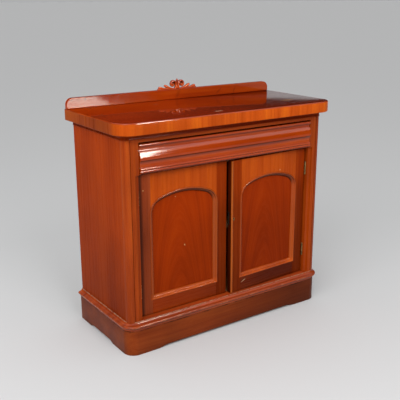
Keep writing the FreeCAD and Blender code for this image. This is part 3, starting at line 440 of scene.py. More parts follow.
def metalMaterial(name, colour, tarnish, rough):
    metal = metalLook
    material, surface = newMaterial(name)
    tree = material.node_tree
    place = tree.nodes.new("ShaderNodeTexCoord").outputs["Object"]
    cloud = cloudNoise(tree, place, *metal["cloud"])
    amount = spread(tree, cloud, *metal["tarnishSpan"])
    roughness = spread(tree, cloud, *noiseSpan, *[rough * part for part in metal["dulled"]])
    feed(tree, blendColours(tree, amount, colour + opaque, tarnish + opaque), surface.inputs["Base Color"])
    feed(tree, roughness, surface.inputs["Roughness"])
    surface.inputs["Metallic"].default_value = 1.0
    scratches = grainNoise(tree, place, metal["scratches"], *metal["scratchNoise"])
    addBump(tree, surface, scratches, metal["relief"], metal["bumpDepth"])
    return material


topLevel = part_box("top_board")[1].z
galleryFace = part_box("gallery_back")[0].y
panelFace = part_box("left_door_panel")[0].y
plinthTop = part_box("plinth_front")[1].z
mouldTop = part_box("plinth_mould_front")[1].z
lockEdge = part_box("right_door_meeting_stile")[0].x
paleChip = (0.62, 0.36, 0.14)
darkChipAndShade = (0.06, 0.012, 0.004)
cedar = dict(dark=(0.26, 0.12, 0.055), mid=(0.38, 0.2, 0.1), light=(0.48, 0.28, 0.15), rough=0.55,
             gloss=0.25, bands=14.0)
stileVeneer = dict(
    dark=(0.125, 0.01, 0.001), mid=(0.18, 0.02, 0.001), light=(0.245, 0.034, 0.003), rough=0.28,
    gloss=0.025, bands=40.0, contrast=0.6, shift=5.3)
# painted light and shade for the door stiles: darker towards the foot, lighter towards the head
stilePaintedLight = (("Z", 0.15, 0.5, 0.72, 0.92), ("Z", 0.5, 0.74, 1.0, 1.75))

# Each wood has three colours, how rough and how glossy it is, the way of its grain (up, if not said) and
# the bands across it in a metre. A fade is painted light and shade: an axis, from and to in metres, and
# the share of light painted at each. A mark is its centre, half sizes, lean in degrees, colour and strength.
# Wear and painted shadow lines have a kind, a level, how far they reach, a colour and a strength.
woods = {
    # painted shade: darker towards the foot
    "sideVeneer": dict(
        dark=(0.25, 0.025, 0.001), mid=(0.33, 0.036, 0.001), light=(0.4, 0.05, 0.002), rough=0.28,
        gloss=0.018, bands=7.0, contrast=0.8, shift=0.1, paintedLightFades=(("Z", 0.12, 0.85, 0.68, 1.1),)),
    # painted shade: darker towards the foot
    "cornerPostVeneer": dict(
        dark=(0.22, 0.022, 0.001), mid=(0.34, 0.046, 0.003), light=(0.44, 0.075, 0.006), rough=0.24,
        gloss=0.12, bands=60.0, contrast=0.7, shift=0.3, paintedLightFades=(("Z", 0.12, 0.6, 0.78, 0.9),)),
    "frontStileVeneer": dict(
        dark=(0.2, 0.02, 0.001), mid=(0.31, 0.042, 0.003), light=(0.4, 0.064, 0.005), rough=0.26,
        gloss=0.08, bands=70.0, contrast=0.7, shift=0.7),
    # painted light and reflection: the top is lighter to the left and darker to the right
    "topVeneer": dict(
        dark=(0.15, 0.01, 0.0008), mid=(0.2, 0.015, 0.001), light=(0.25, 0.022, 0.0014), rough=0.05,
        gloss=0.22, grain="x", bands=7.0, contrast=0.6, shift=1.1, paintedLightFades=(("X", -0.45, 0.5, 1.25, 0.64),),
        marks=(((-0.057, -0.184, topLevel), (0.028, 0.008, 0.004), 0, (0.62, 0.4, 0.26), 0.8),
               ((0.386, -0.105, topLevel), (0.05, 0.014, 0.004), 0, (0.58, 0.26, 0.05), 0.8),
               ((0.345, -0.02, topLevel), (0.022, 0.01, 0.004), 0, (0.5, 0.2, 0.04), 0.7),
               ((-0.173, 0.128, topLevel), (0.014, 0.005, 0.004), 0, (0.5, 0.3, 0.2), 0.6))),
    # painted shade: darker towards the back, and painted light to the right
    "topEdgeVeneer": dict(
        dark=(0.3, 0.036, 0.002), mid=(0.44, 0.066, 0.005), light=(0.58, 0.12, 0.006), rough=0.3,
        gloss=0.03, bands=16.0, contrast=0.7, shift=1.9,
        paintedLightFades=(("Y", -0.235, -0.12, 1.0, 0.66), ("X", -0.45, 0.1, 0.98, 1.22))),
    "topArrisVeneer": dict(
        dark=(0.22, 0.022, 0.001), mid=(0.32, 0.04, 0.002), light=(0.42, 0.066, 0.003), rough=0.08,
        gloss=0.55, grain="x", bands=16.0, contrast=0.7, shift=1.5, relief=0.02),
    "galleryVeneer": dict(
        dark=(0.24, 0.018, 0.001), mid=(0.36, 0.036, 0.002), light=(0.46, 0.065, 0.003), rough=0.05,
        gloss=0.38, grain="x", bands=24.0, contrast=0.8, shift=2.3,
        marks=(((-0.461, galleryFace, 1.014), (0.004, 0.004, 0.01), 0, darkChipAndShade, 0.95),
               ((-0.524, galleryFace, 1.012), (0.005, 0.004, 0.005), 0, darkChipAndShade, 0.6),
               ((0.242, galleryFace, 0.997), (0.006, 0.01, 0.03), 50, darkChipAndShade, 0.35),
               ((0.335, galleryFace, 0.994), (0.006, 0.01, 0.026), 25, darkChipAndShade, 0.35),
               ((0.008, galleryFace, 1.000), (0.012, 0.01, 0.034), 25, darkChipAndShade, 0.25))),
    # painted shade: darker where it faces down and towards its back, so its recesses and the web behind the
    # scrolls look dark
    "carvedMahogany": dict(
        dark=(0.3, 0.026, 0.002), mid=(0.46, 0.052, 0.003), light=(0.6, 0.09, 0.006), rough=0.12,
        gloss=0.5, grain="x", bands=60.0, shift=2.9, relief=0.03, paintedUnderShade=0.45,
        paintedLightFades=(("Y", 0.23, 0.2385, 1.0, 0.22),)),
    "bedMouldMahogany": dict(
        dark=(0.13, 0.01, 0.001), mid=(0.22, 0.022, 0.001), light=(0.3, 0.04, 0.003), rough=0.26,
        gloss=0.03, grain="x", bands=45.0, contrast=0.7, shift=3.7),
    "topRailMahogany": dict(
        dark=(0.22, 0.024, 0.001), mid=(0.34, 0.046, 0.002), light=(0.42, 0.07, 0.004), rough=0.26,
        gloss=0.1, grain="x", bands=30.0, contrast=0.7, shift=3.3),
    # painted shade: darker where it faces down, under the bulge and the beads
    "drawerVeneer": dict(
        dark=(0.22, 0.018, 0.001), mid=(0.33, 0.036, 0.002), light=(0.42, 0.06, 0.004), rough=0.09,
        gloss=0.36, grain="x", bands=24.0, contrast=0.7, shift=4.1, relief=0.03, paintedUnderShade=0.4),
    "doorRailVeneer": dict(
        dark=(0.3, 0.034, 0.002), mid=(0.41, 0.058, 0.003), light=(0.5, 0.084, 0.004), rough=0.28,
        gloss=0.06, bands=22.0, contrast=0.6, shift=4.7,
        marks=(((0.288, -0.183, 0.679), (0.004, 0.014, 0.004), 0, (0.7, 0.42, 0.2), 0.7),)),
    # painted light and shade, as on every door stile
    "doorStileVeneer": dict(stileVeneer, paintedLightFades=stilePaintedLight),
    # painted shadow: the edge beside the gap between the doors is darkened, as it lies in shadow
    "lockStileVeneer": dict(
        stileVeneer, paintedLightFades=stilePaintedLight + (("X", lockEdge + 0.3 * mm, lockEdge + 2.5 * mm, 0.25, 1.0),)),
    # painted light and shadow: lighter towards the head, and a painted shadow along its edge beside the case's
    # stile
    "hingeStileVeneer": dict(
        dark=(0.13, 0.017, 0.003), mid=(0.19, 0.029, 0.006), light=(0.25, 0.045, 0.01), rough=0.3,
        gloss=0.08, bands=36.0, contrast=0.6, shift=5.9,
        marks=(((-0.42, -0.176, 0.692), (0.004, 0.004, 0.003), 0, paleChip, 0.8),),
        paintedLightFades=(("Z", 0.5, 0.74, 1.0, 1.35), ("X", -0.434, -0.419, 0.35, 1.0))),
    # painted shade: darker to the right
    "bottomRailVeneer": dict(
        dark=(0.17, 0.014, 0.001), mid=(0.23, 0.026, 0.002), light=(0.29, 0.042, 0.004), rough=0.28,
        gloss=0.06, grain="x", bands=24.0, contrast=0.6, shift=6.3,
        marks=(((0.079, -0.191, 0.1935), (0.02, 0.02, 0.0022), -25, (0.66, 0.38, 0.2), 0.8),
               # painted shade: a dark line under the panel mould's lower edge, above the scratch
               ((0.078, -0.191, 0.2), (0.018, 0.02, 0.0022), -25, darkChipAndShade, 0.8)),
        paintedLightFades=(("X", -0.35, 0.2, 0.95, 0.43),)),
    # painted shade: darker towards the foot
    "leftFlameVeneer": dict(
        dark=(0.21, 0.018, 0.001), mid=(0.3, 0.028, 0.001), light=(0.36, 0.038, 0.001), rough=0.26,
        gloss=0.025, arch=-0.232, bands=7.0, streaks=40.0, contrast=0.62, patchy=0.09,
        marks=(((-0.218, panelFace, 0.42), (0.003, 0.004, 0.006), -25, paleChip, 0.9),
               ((-0.262, panelFace, 0.64), (0.003, 0.004, 0.003), 0, paleChip, 0.7)),
        paintedLightFades=(("Z", 0.22, 0.66, 0.84, 1.0),)),
    # painted shade: darker towards the foot
    "rightFlameVeneer": dict(
        dark=(0.19, 0.016, 0.001), mid=(0.28, 0.025, 0.001), light=(0.34, 0.035, 0.001), rough=0.26,
        gloss=0.025, arch=0.22, bands=6.0, streaks=34.0, contrast=0.62, patchy=0.09,
        paintedLightFades=(("Z", 0.22, 0.7, 0.78, 1.08),)),
    # painted shade where it faces down, and painted light on its bottom run
    "panelMouldMahogany": dict(
        dark=(0.2, 0.024, 0.002), mid=(0.29, 0.044, 0.003), light=(0.36, 0.068, 0.006), rough=0.2,
        gloss=0.22, bands=12.0, contrast=0.6, shift=6.1, paintedUnderShade=0.22,
        paintedLightFades=(("Z", 0.21, 0.245, 1.5, 1.0),)),
    "closingBeadMahogany": dict(
        dark=(0.26, 0.044, 0.003), mid=(0.32, 0.066, 0.004), light=(0.38, 0.094, 0.007), rough=0.24,
        gloss=0.2, bands=60.0, shift=9.9),
    "plinthVeneer": dict(
        dark=(0.14, 0.018, 0.003), mid=(0.22, 0.036, 0.006), light=(0.29, 0.058, 0.01), rough=0.32,
        gloss=0.06, grain="x", bands=16.0, contrast=0.7, patchy=0.2, shift=6.7,
        wearAndShadow=(("scuffAndShadow", 0.0, 0.02, (0.08, 0.03, 0.012), 0.8),
              # painted shadow: a dark line under the plinth moulding
              ("scuffAndShadow", plinthTop, 0.008, (0.03, 0.008, 0.003), 1.3)),
        # painted shade: darker to the right and towards the back
        paintedLightFades=(("X", -0.35, 0.4, 1.0, 0.44), ("Y", -0.205, -0.13, 1.0, 0.76), ("Y", -0.13, 0.05, 1.0, 0.84))),
    # painted shade where it faces down
    "plinthMouldMahogany": dict(
        dark=(0.16, 0.016, 0.002), mid=(0.28, 0.036, 0.004), light=(0.38, 0.062, 0.008), rough=0.2,
        gloss=0.34, grain="x", bands=45.0, contrast=0.8, shift=7.1, paintedUnderShade=0.35,
        wearAndShadow=(("scuffAndShadow", mouldTop - 18 * mm, 7 * mm, (0.42, 0.15, 0.05), 0.35),
              ("dust", mouldTop, 4 * mm, (0.4, 0.28, 0.17), 0.55))),
    "insideCedar": dict(cedar, grain="x", shift=7.9),
    "lippedCedar": dict(
        cedar, grain="x", shift=7.3,
        lipping={"depth": -0.16,
                 "colours": ((0.2, 0.016, 0.001), (0.3, 0.034, 0.002), (0.38, 0.055, 0.004))}),
    "uprightCedar": dict(cedar, shift=8.3),
    "deepCedar": dict(cedar, grain="y", shift=8.9),
    "backBoardPine": dict(
        dark=(0.2, 0.1, 0.05), mid=(0.33, 0.18, 0.095), light=(0.42, 0.26, 0.14), rough=0.65, gloss=0.2,
        bands=16.0, shift=9.3),
}

metals = {
    # name: colour, tarnish, roughness
    "agedBrass": ((0.4, 0.27, 0.11), (0.13, 0.085, 0.04), 0.34),
    "screwSteel": ((0.38, 0.36, 0.34), (0.13, 0.1, 0.08), 0.4),
    "darkIron": ((0.09, 0.07, 0.06), (0.04, 0.025, 0.02), 0.55),
}

finishOf = {name: woodMaterial(name, **values) for name, values in woods.items()}
finishOf.update({name: metalMaterial(name, *values) for name, values in metals.items()})
print("stage: veneers, polish and metals are mixed")


# Small tools for shapes. A shape is its points and its faces.

weldWithin = 0.001 * mm
bevelAbove = 35         # degrees between two faces
quarterSag = 0.29       # how far a quarter round stands off its chord, as a share of its radius


def makePiece(name, shape, finish, replaced, slot="case_wood", body="case", smoothBelow=32, soften=0.0,
              steps=2):
    mesh = bpy.data.meshes.new(name)
    mesh.from_pydata(shape[0], [], shape[1])
    work = bmesh.new()
    work.from_mesh(mesh)
    bmesh.ops.remove_doubles(work, verts=work.verts, dist=weldWithin)
    bmesh.ops.recalc_face_normals(work, faces=work.faces)
    work.to_mesh(mesh)
    work.free()
    mesh.materials.append(finishOf[finish])
    piece = addObject(name, mesh)
    mesh.shade_smooth()
    mesh.set_sharp_from_angle(angle=math.radians(smoothBelow))
    if soften:
        edge = piece.modifiers.new("softArris", "BEVEL")
        edge.width = soften
        edge.segments = steps
        edge.limit_method = "ANGLE"
        edge.angle_limit = math.radians(bevelAbove)
        even = piece.modifiers.new("evenNormals", "WEIGHTED_NORMAL")
        even.keep_sharp = True
    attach(piece, body)
    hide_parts(*replaced)
    return piece


def bow(start, end, sag, steps):
    # the points of a round stretch after its start, standing off the chord by sag, to the left if positive
    (x0, y0), (x1, y1) = start, end
    length = math.hypot(x1 - x0, y1 - y0)
    radius = (length ** 2 / 4 + sag ** 2) / (2 * abs(sag))
    side = 1 if sag > 0 else -1
    out = ((y0 - y1) / length * side, (x1 - x0) / length * side)
    reach = radius - abs(sag)
    middle = ((x0 + x1) / 2 - out[0] * reach, (y0 + y1) / 2 - out[1] * reach)
    first = math.atan2(y0 - middle[1], x0 - middle[0])
    turn = 2 * math.asin(min(1.0, length / 2 / radius))
    if reach < 0:
        turn = 2 * math.pi - turn
    angles = [first - side * turn * i / steps for i in range(1, steps + 1)]
    return [(middle[0] + radius * math.cos(angle), middle[1] + radius * math.sin(angle)) for angle in angles]


def arcStations(centre, radius, start, end, steps):
    # places along an arc in plan, each with its outward direction
    stations = []
    for i in range(steps + 1):
        angle = math.radians(start + (end - start) * i / steps)
        way = (math.cos(angle), math.sin(angle))
        stations.append(((centre[0] + radius * way[0], centre[1] + radius * way[1]), way))
    return stations


def arcPoints(*arc):
    return [place for place, way in arcStations(*arc)]


def roundCase(cornerX, cornerY, radius, back, steps=18):
    # the way round the left side, the front and the right side, with round front corners
    path = [((-cornerX - radius, back), (-1, 0))]
    path += arcStations((-cornerX, cornerY), radius, 180, 270, steps)
    path += arcStations((cornerX, cornerY), radius, 270, 360, steps)
    path.append(((cornerX + radius, back), (1, 0)))
    return path


def ringFaces(rings, size, caps=True):
    # faces between closed rings of points that all have the same size
    faces = []
    for ring in range(rings - 1):
        for i in range(size):
            j = (i + 1) % size
            faces.append((ring * size + i, ring * size + j, (ring + 1) * size + j, (ring + 1) * size + i))
    if caps:
        faces.append(tuple(range(size)))
        faces.append(tuple((rings - 1) * size + i for i in range(size)))
    return faces


def runMould(path, profile):
    # a closed profile of (out, height) carried along a path in plan
    points = [(x + outX * out, y + outY * out, height)
              for (x, y), (outX, outY) in path for out, height in profile]
    return points, ringFaces(len(path), len(profile))


def stack(outlines, caps=True):
    # plan outlines with their heights, all with the same number of points
    points = [(x, y, z) for outline, z in outlines for x, y in outline]
    return points, ringFaces(len(outlines), len(outlines[0][0]), caps)


def prismUp(plan, low, high):
    return stack([(plan, low), (plan, high)])


def prismAlongY(outline, front, back):
    points = [(x, y, z) for y in (front, back) for x, z in outline]
    return points, ringFaces(2, len(outline))


def blockShape(low, high):
    (x0, y0, z0), (x1, y1, z1) = low, high
    return prismUp([(x0, y0), (x1, y0), (x1, y1), (x0, y1)], z0, z1)


def together(*shapes):
    points, faces = [], []
    for shapePoints, shapeFaces in shapes:
        start = len(points)
        points += shapePoints
        faces += [tuple(start + i for i in face) for face in shapeFaces]
    return points, faces


def turnedAbout(points, pivot, degrees):
    swing = Matrix.Rotation(math.radians(degrees), 3, "Z")
    centre = Vector((pivot[0], pivot[1], 0))
    return [tuple(swing @ (Vector(point) - centre) + centre) for point in points]


# The top, its edge and the gallery

top = {
    "cornerRadius": 75 * mm,
    "cornerSteps": 20,
    "upperRound": 4.0 * mm,
    "lowerRound": 3.0 * mm,
    "roundSteps": 5,
    "liningSide": 62 * mm,      # width of the lining at the sides and the back, and in front
    "liningFront": 95 * mm,
    "smoothBelow": 50,
    "flatAbove": 0.97,          # a face whose normal rises less than this has the edge's veneer
}


def topOutline(inset):
    # the top seen from above, drawn in by inset: back right, back left, then both round corners
    low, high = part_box("top_board")
    half, front, back = high.x - inset, low.y + inset, high.y - inset
    radius = top["cornerRadius"] - inset
    loop = [(half, back), (-half, back)]
    for x, start in ((-half + radius, 180), (half - radius, 270)):
        loop += arcPoints((x, front + radius), radius, start, start + 90, top["cornerSteps"])
    return loop


def topRim(joint, level, radius, way):
    # outlines from the joint to a level, with a rounded arris there; way is 1 upwards and -1 downwards
    rim = [(topOutline(0), joint), (topOutline(0), level - way * radius)]
    for inset, drop in bow((0, radius), (radius, 0), -quarterSag * radius, top["roundSteps"]):
        rim.append((topOutline(inset), level - way * drop))
    return rim


def buildTop():
    low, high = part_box("top_board")
    radius = top["upperRound"]
    board = makePiece("topBoard", stack(topRim(low.z, high.z, radius, 1)), "topVeneer", ("top_board",),
                      "top_veneer", smoothBelow=top["smoothBelow"])
    board.data.materials.append(finishOf["topEdgeVeneer"])
    board.data.materials.append(finishOf["topArrisVeneer"])
    for face in board.data.polygons:
        if abs(face.normal.z) < top["flatAbove"]:
            face.material_index = 2 if face.center.z > high.z - radius else 1


def buildLining():
    # a ring under the edge of the top, about a four-cornered hollow
    low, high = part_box("top_board")
    joint, foot = low.z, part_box("top_lining")[0].z
    rim = topRim(joint, foot, top["lowerRound"], -1)
    half, back = high.x - top["liningSide"], high.y - top["liningSide"]
    front = low.y + top["liningFront"]
    hollow = [(half, back), (-half, back), (-half, front), (half, front)]
    wells = [(hollow, joint), (hollow, foot)]
    points, faces = together(stack(rim, caps=False), stack(wells, caps=False))
    arc = top["cornerSteps"] + 1
    inner = len(points) - 2 * len(hollow)
    for first, well in ((0, inner), (inner - len(rim[0][0]), inner + len(hollow))):
        leftArc = range(first + 2, first + 2 + arc)
        rightArc = range(first + 2 + arc, first + 2 + 2 * arc)
        faces += [(first, first + 1, well + 1, well), (first + 1, leftArc[0], well + 2, well + 1),
                  (*leftArc, well + 2), (leftArc[-1], rightArc[0], well + 3, well + 2),
                  (*rightArc, well + 3), (rightArc[-1], first, well, well + 3)]
    makePiece("topLining", (points, faces), "topEdgeVeneer", ("top_lining",), "edge_veneer",
              smoothBelow=top["smoothBelow"])


gallery = {
    "cornerRadius": 30 * mm,
    "edgeRound": 1.6 * mm,
    "cornerSteps": 16,
}


def buildGallery():
    low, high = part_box("gallery_back")
    radius = gallery["cornerRadius"]
    outline = [(low.x, low.z), (high.x, low.z)]
    for start, x in ((0, high.x - radius), (90, low.x + radius)):
        outline += arcPoints((x, high.z - radius), radius, start, start + 90, gallery["cornerSteps"])
    makePiece("galleryBack", prismAlongY(outline, low.y, high.y), "galleryVeneer", ("gallery_back",),
              soften=gallery["edgeRound"], steps=3)


# The carved crest: two volutes and a bud, with leaves along the gallery

crest = {
    # lengths are in mm: out from the middle and up from the gallery
    "centre": 8,                            # to the right of the board's middle
    "scroll": ((11, -2), (7.6, 8), (6.6, 18), (8.2, 27), (13, 34.0), (20.5, 36.6), (28.3, 34.2),
               (33.2, 27.8), (33.4, 20.2), (29.4, 14.6), (24.0, 13.6), (19.6, 17.4)),
    "scrollWidths": (5.4, 4.6, 4.0),        # half the strand's width at its foot, its fullest and its end
    "scrollDepths": (0.8, 0.96, 0.7),       # depths are shares of half the carving's depth
    "scrollPeaks": (0.28, 0.4),             # how far along it is fullest, in width and in depth
    "eyeAt": (21.4, 20.4),
    "eye": 5.4,
    "eyeDepth": 0.95,
    "webRadius": 12.5,                      # the thin web that is left behind the scroll, dark from the carving's painted shade towards its back
    "webThick": 2.6,
    "webFromBack": 1.0,
    "webAboveEye": 4.0,
    "scrollSteps": 6,                       # between two marks
    "leafSteps": 8,
    "leafDepths": (0.7, 0.85, 0.7),
    "leafPeaks": (0.8, 0.8),
    "tipDepth": 0.78,
    "buds": ((0, 40.0, 4.6, 7.0), (0, 30, 2.6, 9.0), (0, 6, 4.0, 8.0)),    # the bud, its stalk and a berry
    "budDepth": 0.8,
    "sunk": 0.2,
    "voxel": 0.6,
    "easeBy": 0.5,
    "easeTimes": 2,
    "flat": 0.45,                           # how flat a strand's face is left: 1 is round, 0 is square
}

leaves = {
    # marks along the leaf, its half widths, and the bulb at its tip with its half width and height, in mm
    "innerLeaf": (((14, 1), (28, 2.5), (42, 6.0), (53, 11.0), (60, 15.0)), (3.4, 6.0, 5.2),
                  (64.5, 16.6, 6.8, 5.6)),
    "outerLeaf": (((44, 1.0), (62, 2.5), (76, 5), (87, 8.6)), (3.0, 4.8, 4.6), (94.0, 10.4, 7.6, 5.2)),
    "ground": (((40, 0), (56, 3.0), (74, 3.6), (90, 2.4)), (3.4, 4.8, 4.0), (100.5, 2.2, 6.2, 4.8)),
}


def strandAlong(path, widths, depths, middleY, sides=16):
    # a tapering strand through points of (x, z), with half widths in the face and half depths behind it
    points = []
    for i, (x, z) in enumerate(path):
        before, after = path[max(i - 1, 0)], path[min(i + 1, len(path) - 1)]
        way = Vector((after[0] - before[0], after[1] - before[1])).normalized()
        for k in range(sides):
            angle = 2 * math.pi * k / sides
            out = math.cos(angle) * widths[i]
            deep = math.copysign(abs(math.sin(angle)) ** crest["flat"], math.sin(angle)) * depths[i]
            points.append((x - way.y * out, middleY + deep, z + way.x * out))
    return points, ringFaces(len(path), sides)


def smoothPath(marks, steps):
    # a curve through every mark
    path = []
    for i in range(len(marks) - 1):
        a, b = marks[max(i - 1, 0)], marks[i]
        c, d = marks[i + 1], marks[min(i + 2, len(marks) - 1)]
        for k in range(steps):
            t = k / steps
            path.append(tuple(0.5 * (2 * b[n] + (c[n] - a[n]) * t
                                     + (2 * a[n] - 5 * b[n] + 4 * c[n] - d[n]) * t * t
                                     + (3 * b[n] - a[n] - 3 * c[n] + d[n]) * t ** 3) for n in range(2)))
    path.append(marks[-1])
    return path


def taper(count, start, middle, end, peak):
    sizes = []
    for i in range(count):
        t = i / (count - 1)
        if t < peak:
            share = math.sin(t / peak * math.pi / 2)
            sizes.append(start + (middle - start) * share)
        else:
            share = (1 - math.cos((t - peak) / (1 - peak) * math.pi)) / 2
            sizes.append(middle + (end - middle) * share)
    return sizes


def ballShape(centre, radii, rings=10, sides=14):
    points = []
    for i in range(1, rings):
        tilt = math.pi * i / rings
        for k in range(sides):
            angle = 2 * math.pi * k / sides
            way = (math.sin(tilt) * math.cos(angle), math.sin(tilt) * math.sin(angle), math.cos(tilt))
            points.append(tuple(centre[n] + radii[n] * way[n] for n in range(3)))
    faces = ringFaces(rings - 1, sides, caps=False)
    crown, last = len(points), (rings - 2) * sides
    points += [(centre[0], centre[1], centre[2] + tall) for tall in (radii[2], -radii[2])]
    for k in range(sides):
        faces.append((crown, (k + 1) % sides, k))
        faces.append((crown + 1, last + k, last + (k + 1) % sides))
    return points, faces


def settle(piece):
    # the modifiers' result becomes the piece's own mesh
    shown = piece.evaluated_get(bpy.context.evaluated_depsgraph_get())
    mesh = bpy.data.meshes.new_from_object(shown)
    piece.modifiers.clear()
    old = piece.data
    piece.data = mesh
    bpy.data.meshes.remove(old)
    mesh.shade_smooth()


def buildCrest():
    low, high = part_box("crest_carving")
    base = low.z
    middleY = (low.y + high.y) / 2
    thick = (high.y - low.y) / 2
    shapes = []

    def place(side, out, up):
        return ((crest["centre"] + side * out) * mm, base + up * mm)

    def strand(side, marks, widths, depths, peaks, steps):
        path = smoothPath([place(side, *mark) for mark in marks], steps)
        wide = taper(len(path), *[width * mm for width in widths], peaks[0])
        deep = taper(len(path), *[thick * share for share in depths], peaks[1])
        shapes.append(strandAlong(path, wide, deep, middleY))

    def ball(x, z, wide, deep, tall, y=middleY):
        shapes.append(ballShape((x, y, z), (wide * mm, deep, tall * mm)))

    for side in (left, right):
        # the scroll rises by the middle, runs up, over and out, and winds into its eye
        strand(side, crest["scroll"], crest["scrollWidths"], crest["scrollDepths"], crest["scrollPeaks"],
               crest["scrollSteps"])
        x, z = place(side, *crest["eyeAt"])
        ball(x, z, crest["eye"], thick * crest["eyeDepth"], crest["eye"])
        web = crest["webThick"] * mm
        ball(x, z + crest["webAboveEye"] * mm, crest["webRadius"], web, crest["webRadius"],
             high.y - web - crest["webFromBack"] * mm)
        # the leaves run out along the gallery, and their tips curl up
        for marks, widths, tip in leaves.values():
            strand(side, marks + (tip[:2],), widths, crest["leafDepths"], crest["leafPeaks"],
                   crest["leafSteps"])
            x, z = place(side, *tip[:2])
            ball(x, z, tip[2], thick * crest["tipDepth"], tip[3])
    for out, up, wide, tall in crest["buds"]:
        x, z = place(right, out, up)
        ball(x, z, wide, thick * crest["budDepth"], tall)
    points, faces = together(*shapes)
    points = [(x, y, max(z, base - crest["sunk"] * mm)) for x, y, z in points]
    carving = makePiece("crestCarving", (points, faces), "carvedMahogany", ("crest_carving",),
                        smoothBelow=180)
    fuse = carving.modifiers.new("carveTogether", "REMESH")
    fuse.mode = "VOXEL"
    fuse.voxel_size = crest["voxel"] * mm
    fuse.use_smooth_shade = True
    ease = carving.modifiers.new("easeCuts", "SMOOTH")
    ease.factor = crest["easeBy"]
    ease.iterations = crest["easeTimes"]
    settle(carving)


buildTop()
buildLining()
buildGallery()
buildCrest()
print("stage: top, gallery and crest are built")


# The window's light passes the gallery by, and the spark falls on the carving alone

def linkLamp(lampName, groupName, pieceName, state):
    group = bpy.data.collections.new(groupName)
    group.objects.link(bpy.data.objects[pieceName])
    bpy.data.objects[lampName].light_linking.receiver_collection = group
    for held in group.collection_objects:
        held.light_linking.link_state = state


linkLamp("windowBox", "windowPassesBy", "galleryBack", "EXCLUDE")
linkLamp("crestSpark", "sparkFallsOn", "crestCarving", "INCLUDE")


# The case: mouldings, posts and stiles

caseShape = {
    "postRadius": 27 * mm,
    "postSteps": 20,
    "plinthCorner": 50 * mm,
    "plinthProud": 10 * mm,
    "plinthWall": 20 * mm,
    "sideArris": 0.5 * mm,
}

bedMould = {
    "proud": 10 * mm,
    "fillet": 3 * mm,
    "eased": 0.4,               # of the fillet
    "lip": 0.4 * mm,
    "coveDepth": 5.0 * mm,
    "coveSteps": 10,
    "sunk": 2 * mm,
}

plinthMould = {
    "base": 12 * mm,
    "baseArris": 0.6 * mm,
    "footEdge": 4 * mm,
    "footCove": 1.6 * mm,
    "noseLow": 11 * mm,
    "noseHigh": 24 * mm,
    "noseRise": 6 * mm,
    "proud": 22 * mm,
    "headCove": 2.2 * mm,
    "topEdge": 3 * mm,
    "topFlat": 2 * mm,
    "topArris": 0.5 * mm,
    "steps": (6, 14, 8),        # of the foot's cove, the nose and the head's cove
    "sunk": 1 * mm,
}


def buildBedMould(caseHalf, caseFront, back):
    m, post = bedMould, caseShape["postRadius"]
    foot, head = (corner.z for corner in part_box("bed_mould_front"))
    fillet, proud, sunk = m["fillet"], m["proud"], m["sunk"]
    eased = m["eased"] * fillet
    profile = [(-sunk, head), (-sunk, foot), (fillet - eased, foot), (fillet, foot + eased),
               (fillet, foot + fillet)]
    profile += bow((fillet, foot + fillet), (proud - m["lip"], head - fillet), m["coveDepth"], m["coveSteps"])
    profile += [(proud, head - fillet), (proud, head)]
    path = roundCase(caseHalf - post, caseFront + post, post, back)
    makePiece("bedMould", runMould(path, profile), "bedMouldMahogany",
              ("bed_mould_front", "bed_mould_returns"))


def buildPlinthMould(caseHalf, caseFront, back):
    m, corner, proud = plinthMould, caseShape["plinthCorner"], caseShape["plinthProud"]
    foot, base, edge = plinthTop, m["base"], m["topEdge"]
    step = m["proud"] - m["noseRise"]
    nose = [(step, foot + m["noseLow"]), (step, foot + m["noseHigh"])]
    profile = [(-m["sunk"], mouldTop), (-m["sunk"], foot), (base - m["baseArris"], foot),
               (base, foot + m["baseArris"]), (base, foot + m["footEdge"])]
    profile += bow((base, foot + m["footEdge"]), nose[0], m["footCove"], m["steps"][0])
    profile += bow(nose[0], nose[1], -m["noseRise"], m["steps"][1])
    profile += bow(nose[1], (edge, mouldTop - m["topFlat"]), m["headCove"], m["steps"][2])
    profile += [(edge, mouldTop - m["topArris"]), (edge - m["topArris"], mouldTop)]
    cornerX = caseHalf + proud - corner
    path = roundCase(cornerX, caseFront - proud + corner, caseHalf - cornerX, back)
    makePiece("plinthMould", runMould(path, profile), "plinthMouldMahogany",
              ("plinth_mould_front", "plinth_mould_returns"))


def buildPosts():
    low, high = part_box("corner_posts")
    radius = caseShape["postRadius"]
    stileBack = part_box("front_stiles")[1].y
    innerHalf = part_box("side_panel_right")[0].x
    shapes = []
    for side, end in ((left, 180), (right, 360)):
        centre = (side * (high.x - radius), low.y + radius)
        plan = arcPoints(centre, radius, 270, end, caseShape["postSteps"])
        plan += [(side * innerHalf, centre[1]), (side * innerHalf, stileBack), (centre[0], stileBack)]
        shapes.append(prismUp(plan, low.z, high.z))
    makePiece("cornerPosts", together(*shapes), "cornerPostVeneer", ("corner_posts",), smoothBelow=25)


stile = {
    "width": 39 * mm,
    "quirk": 3 * mm,
    "stepWide": 18 * mm,
    "stepDeep": 8 * mm,
    "stepAboveDoor": 5 * mm,
    "soften": 0.8 * mm,
}


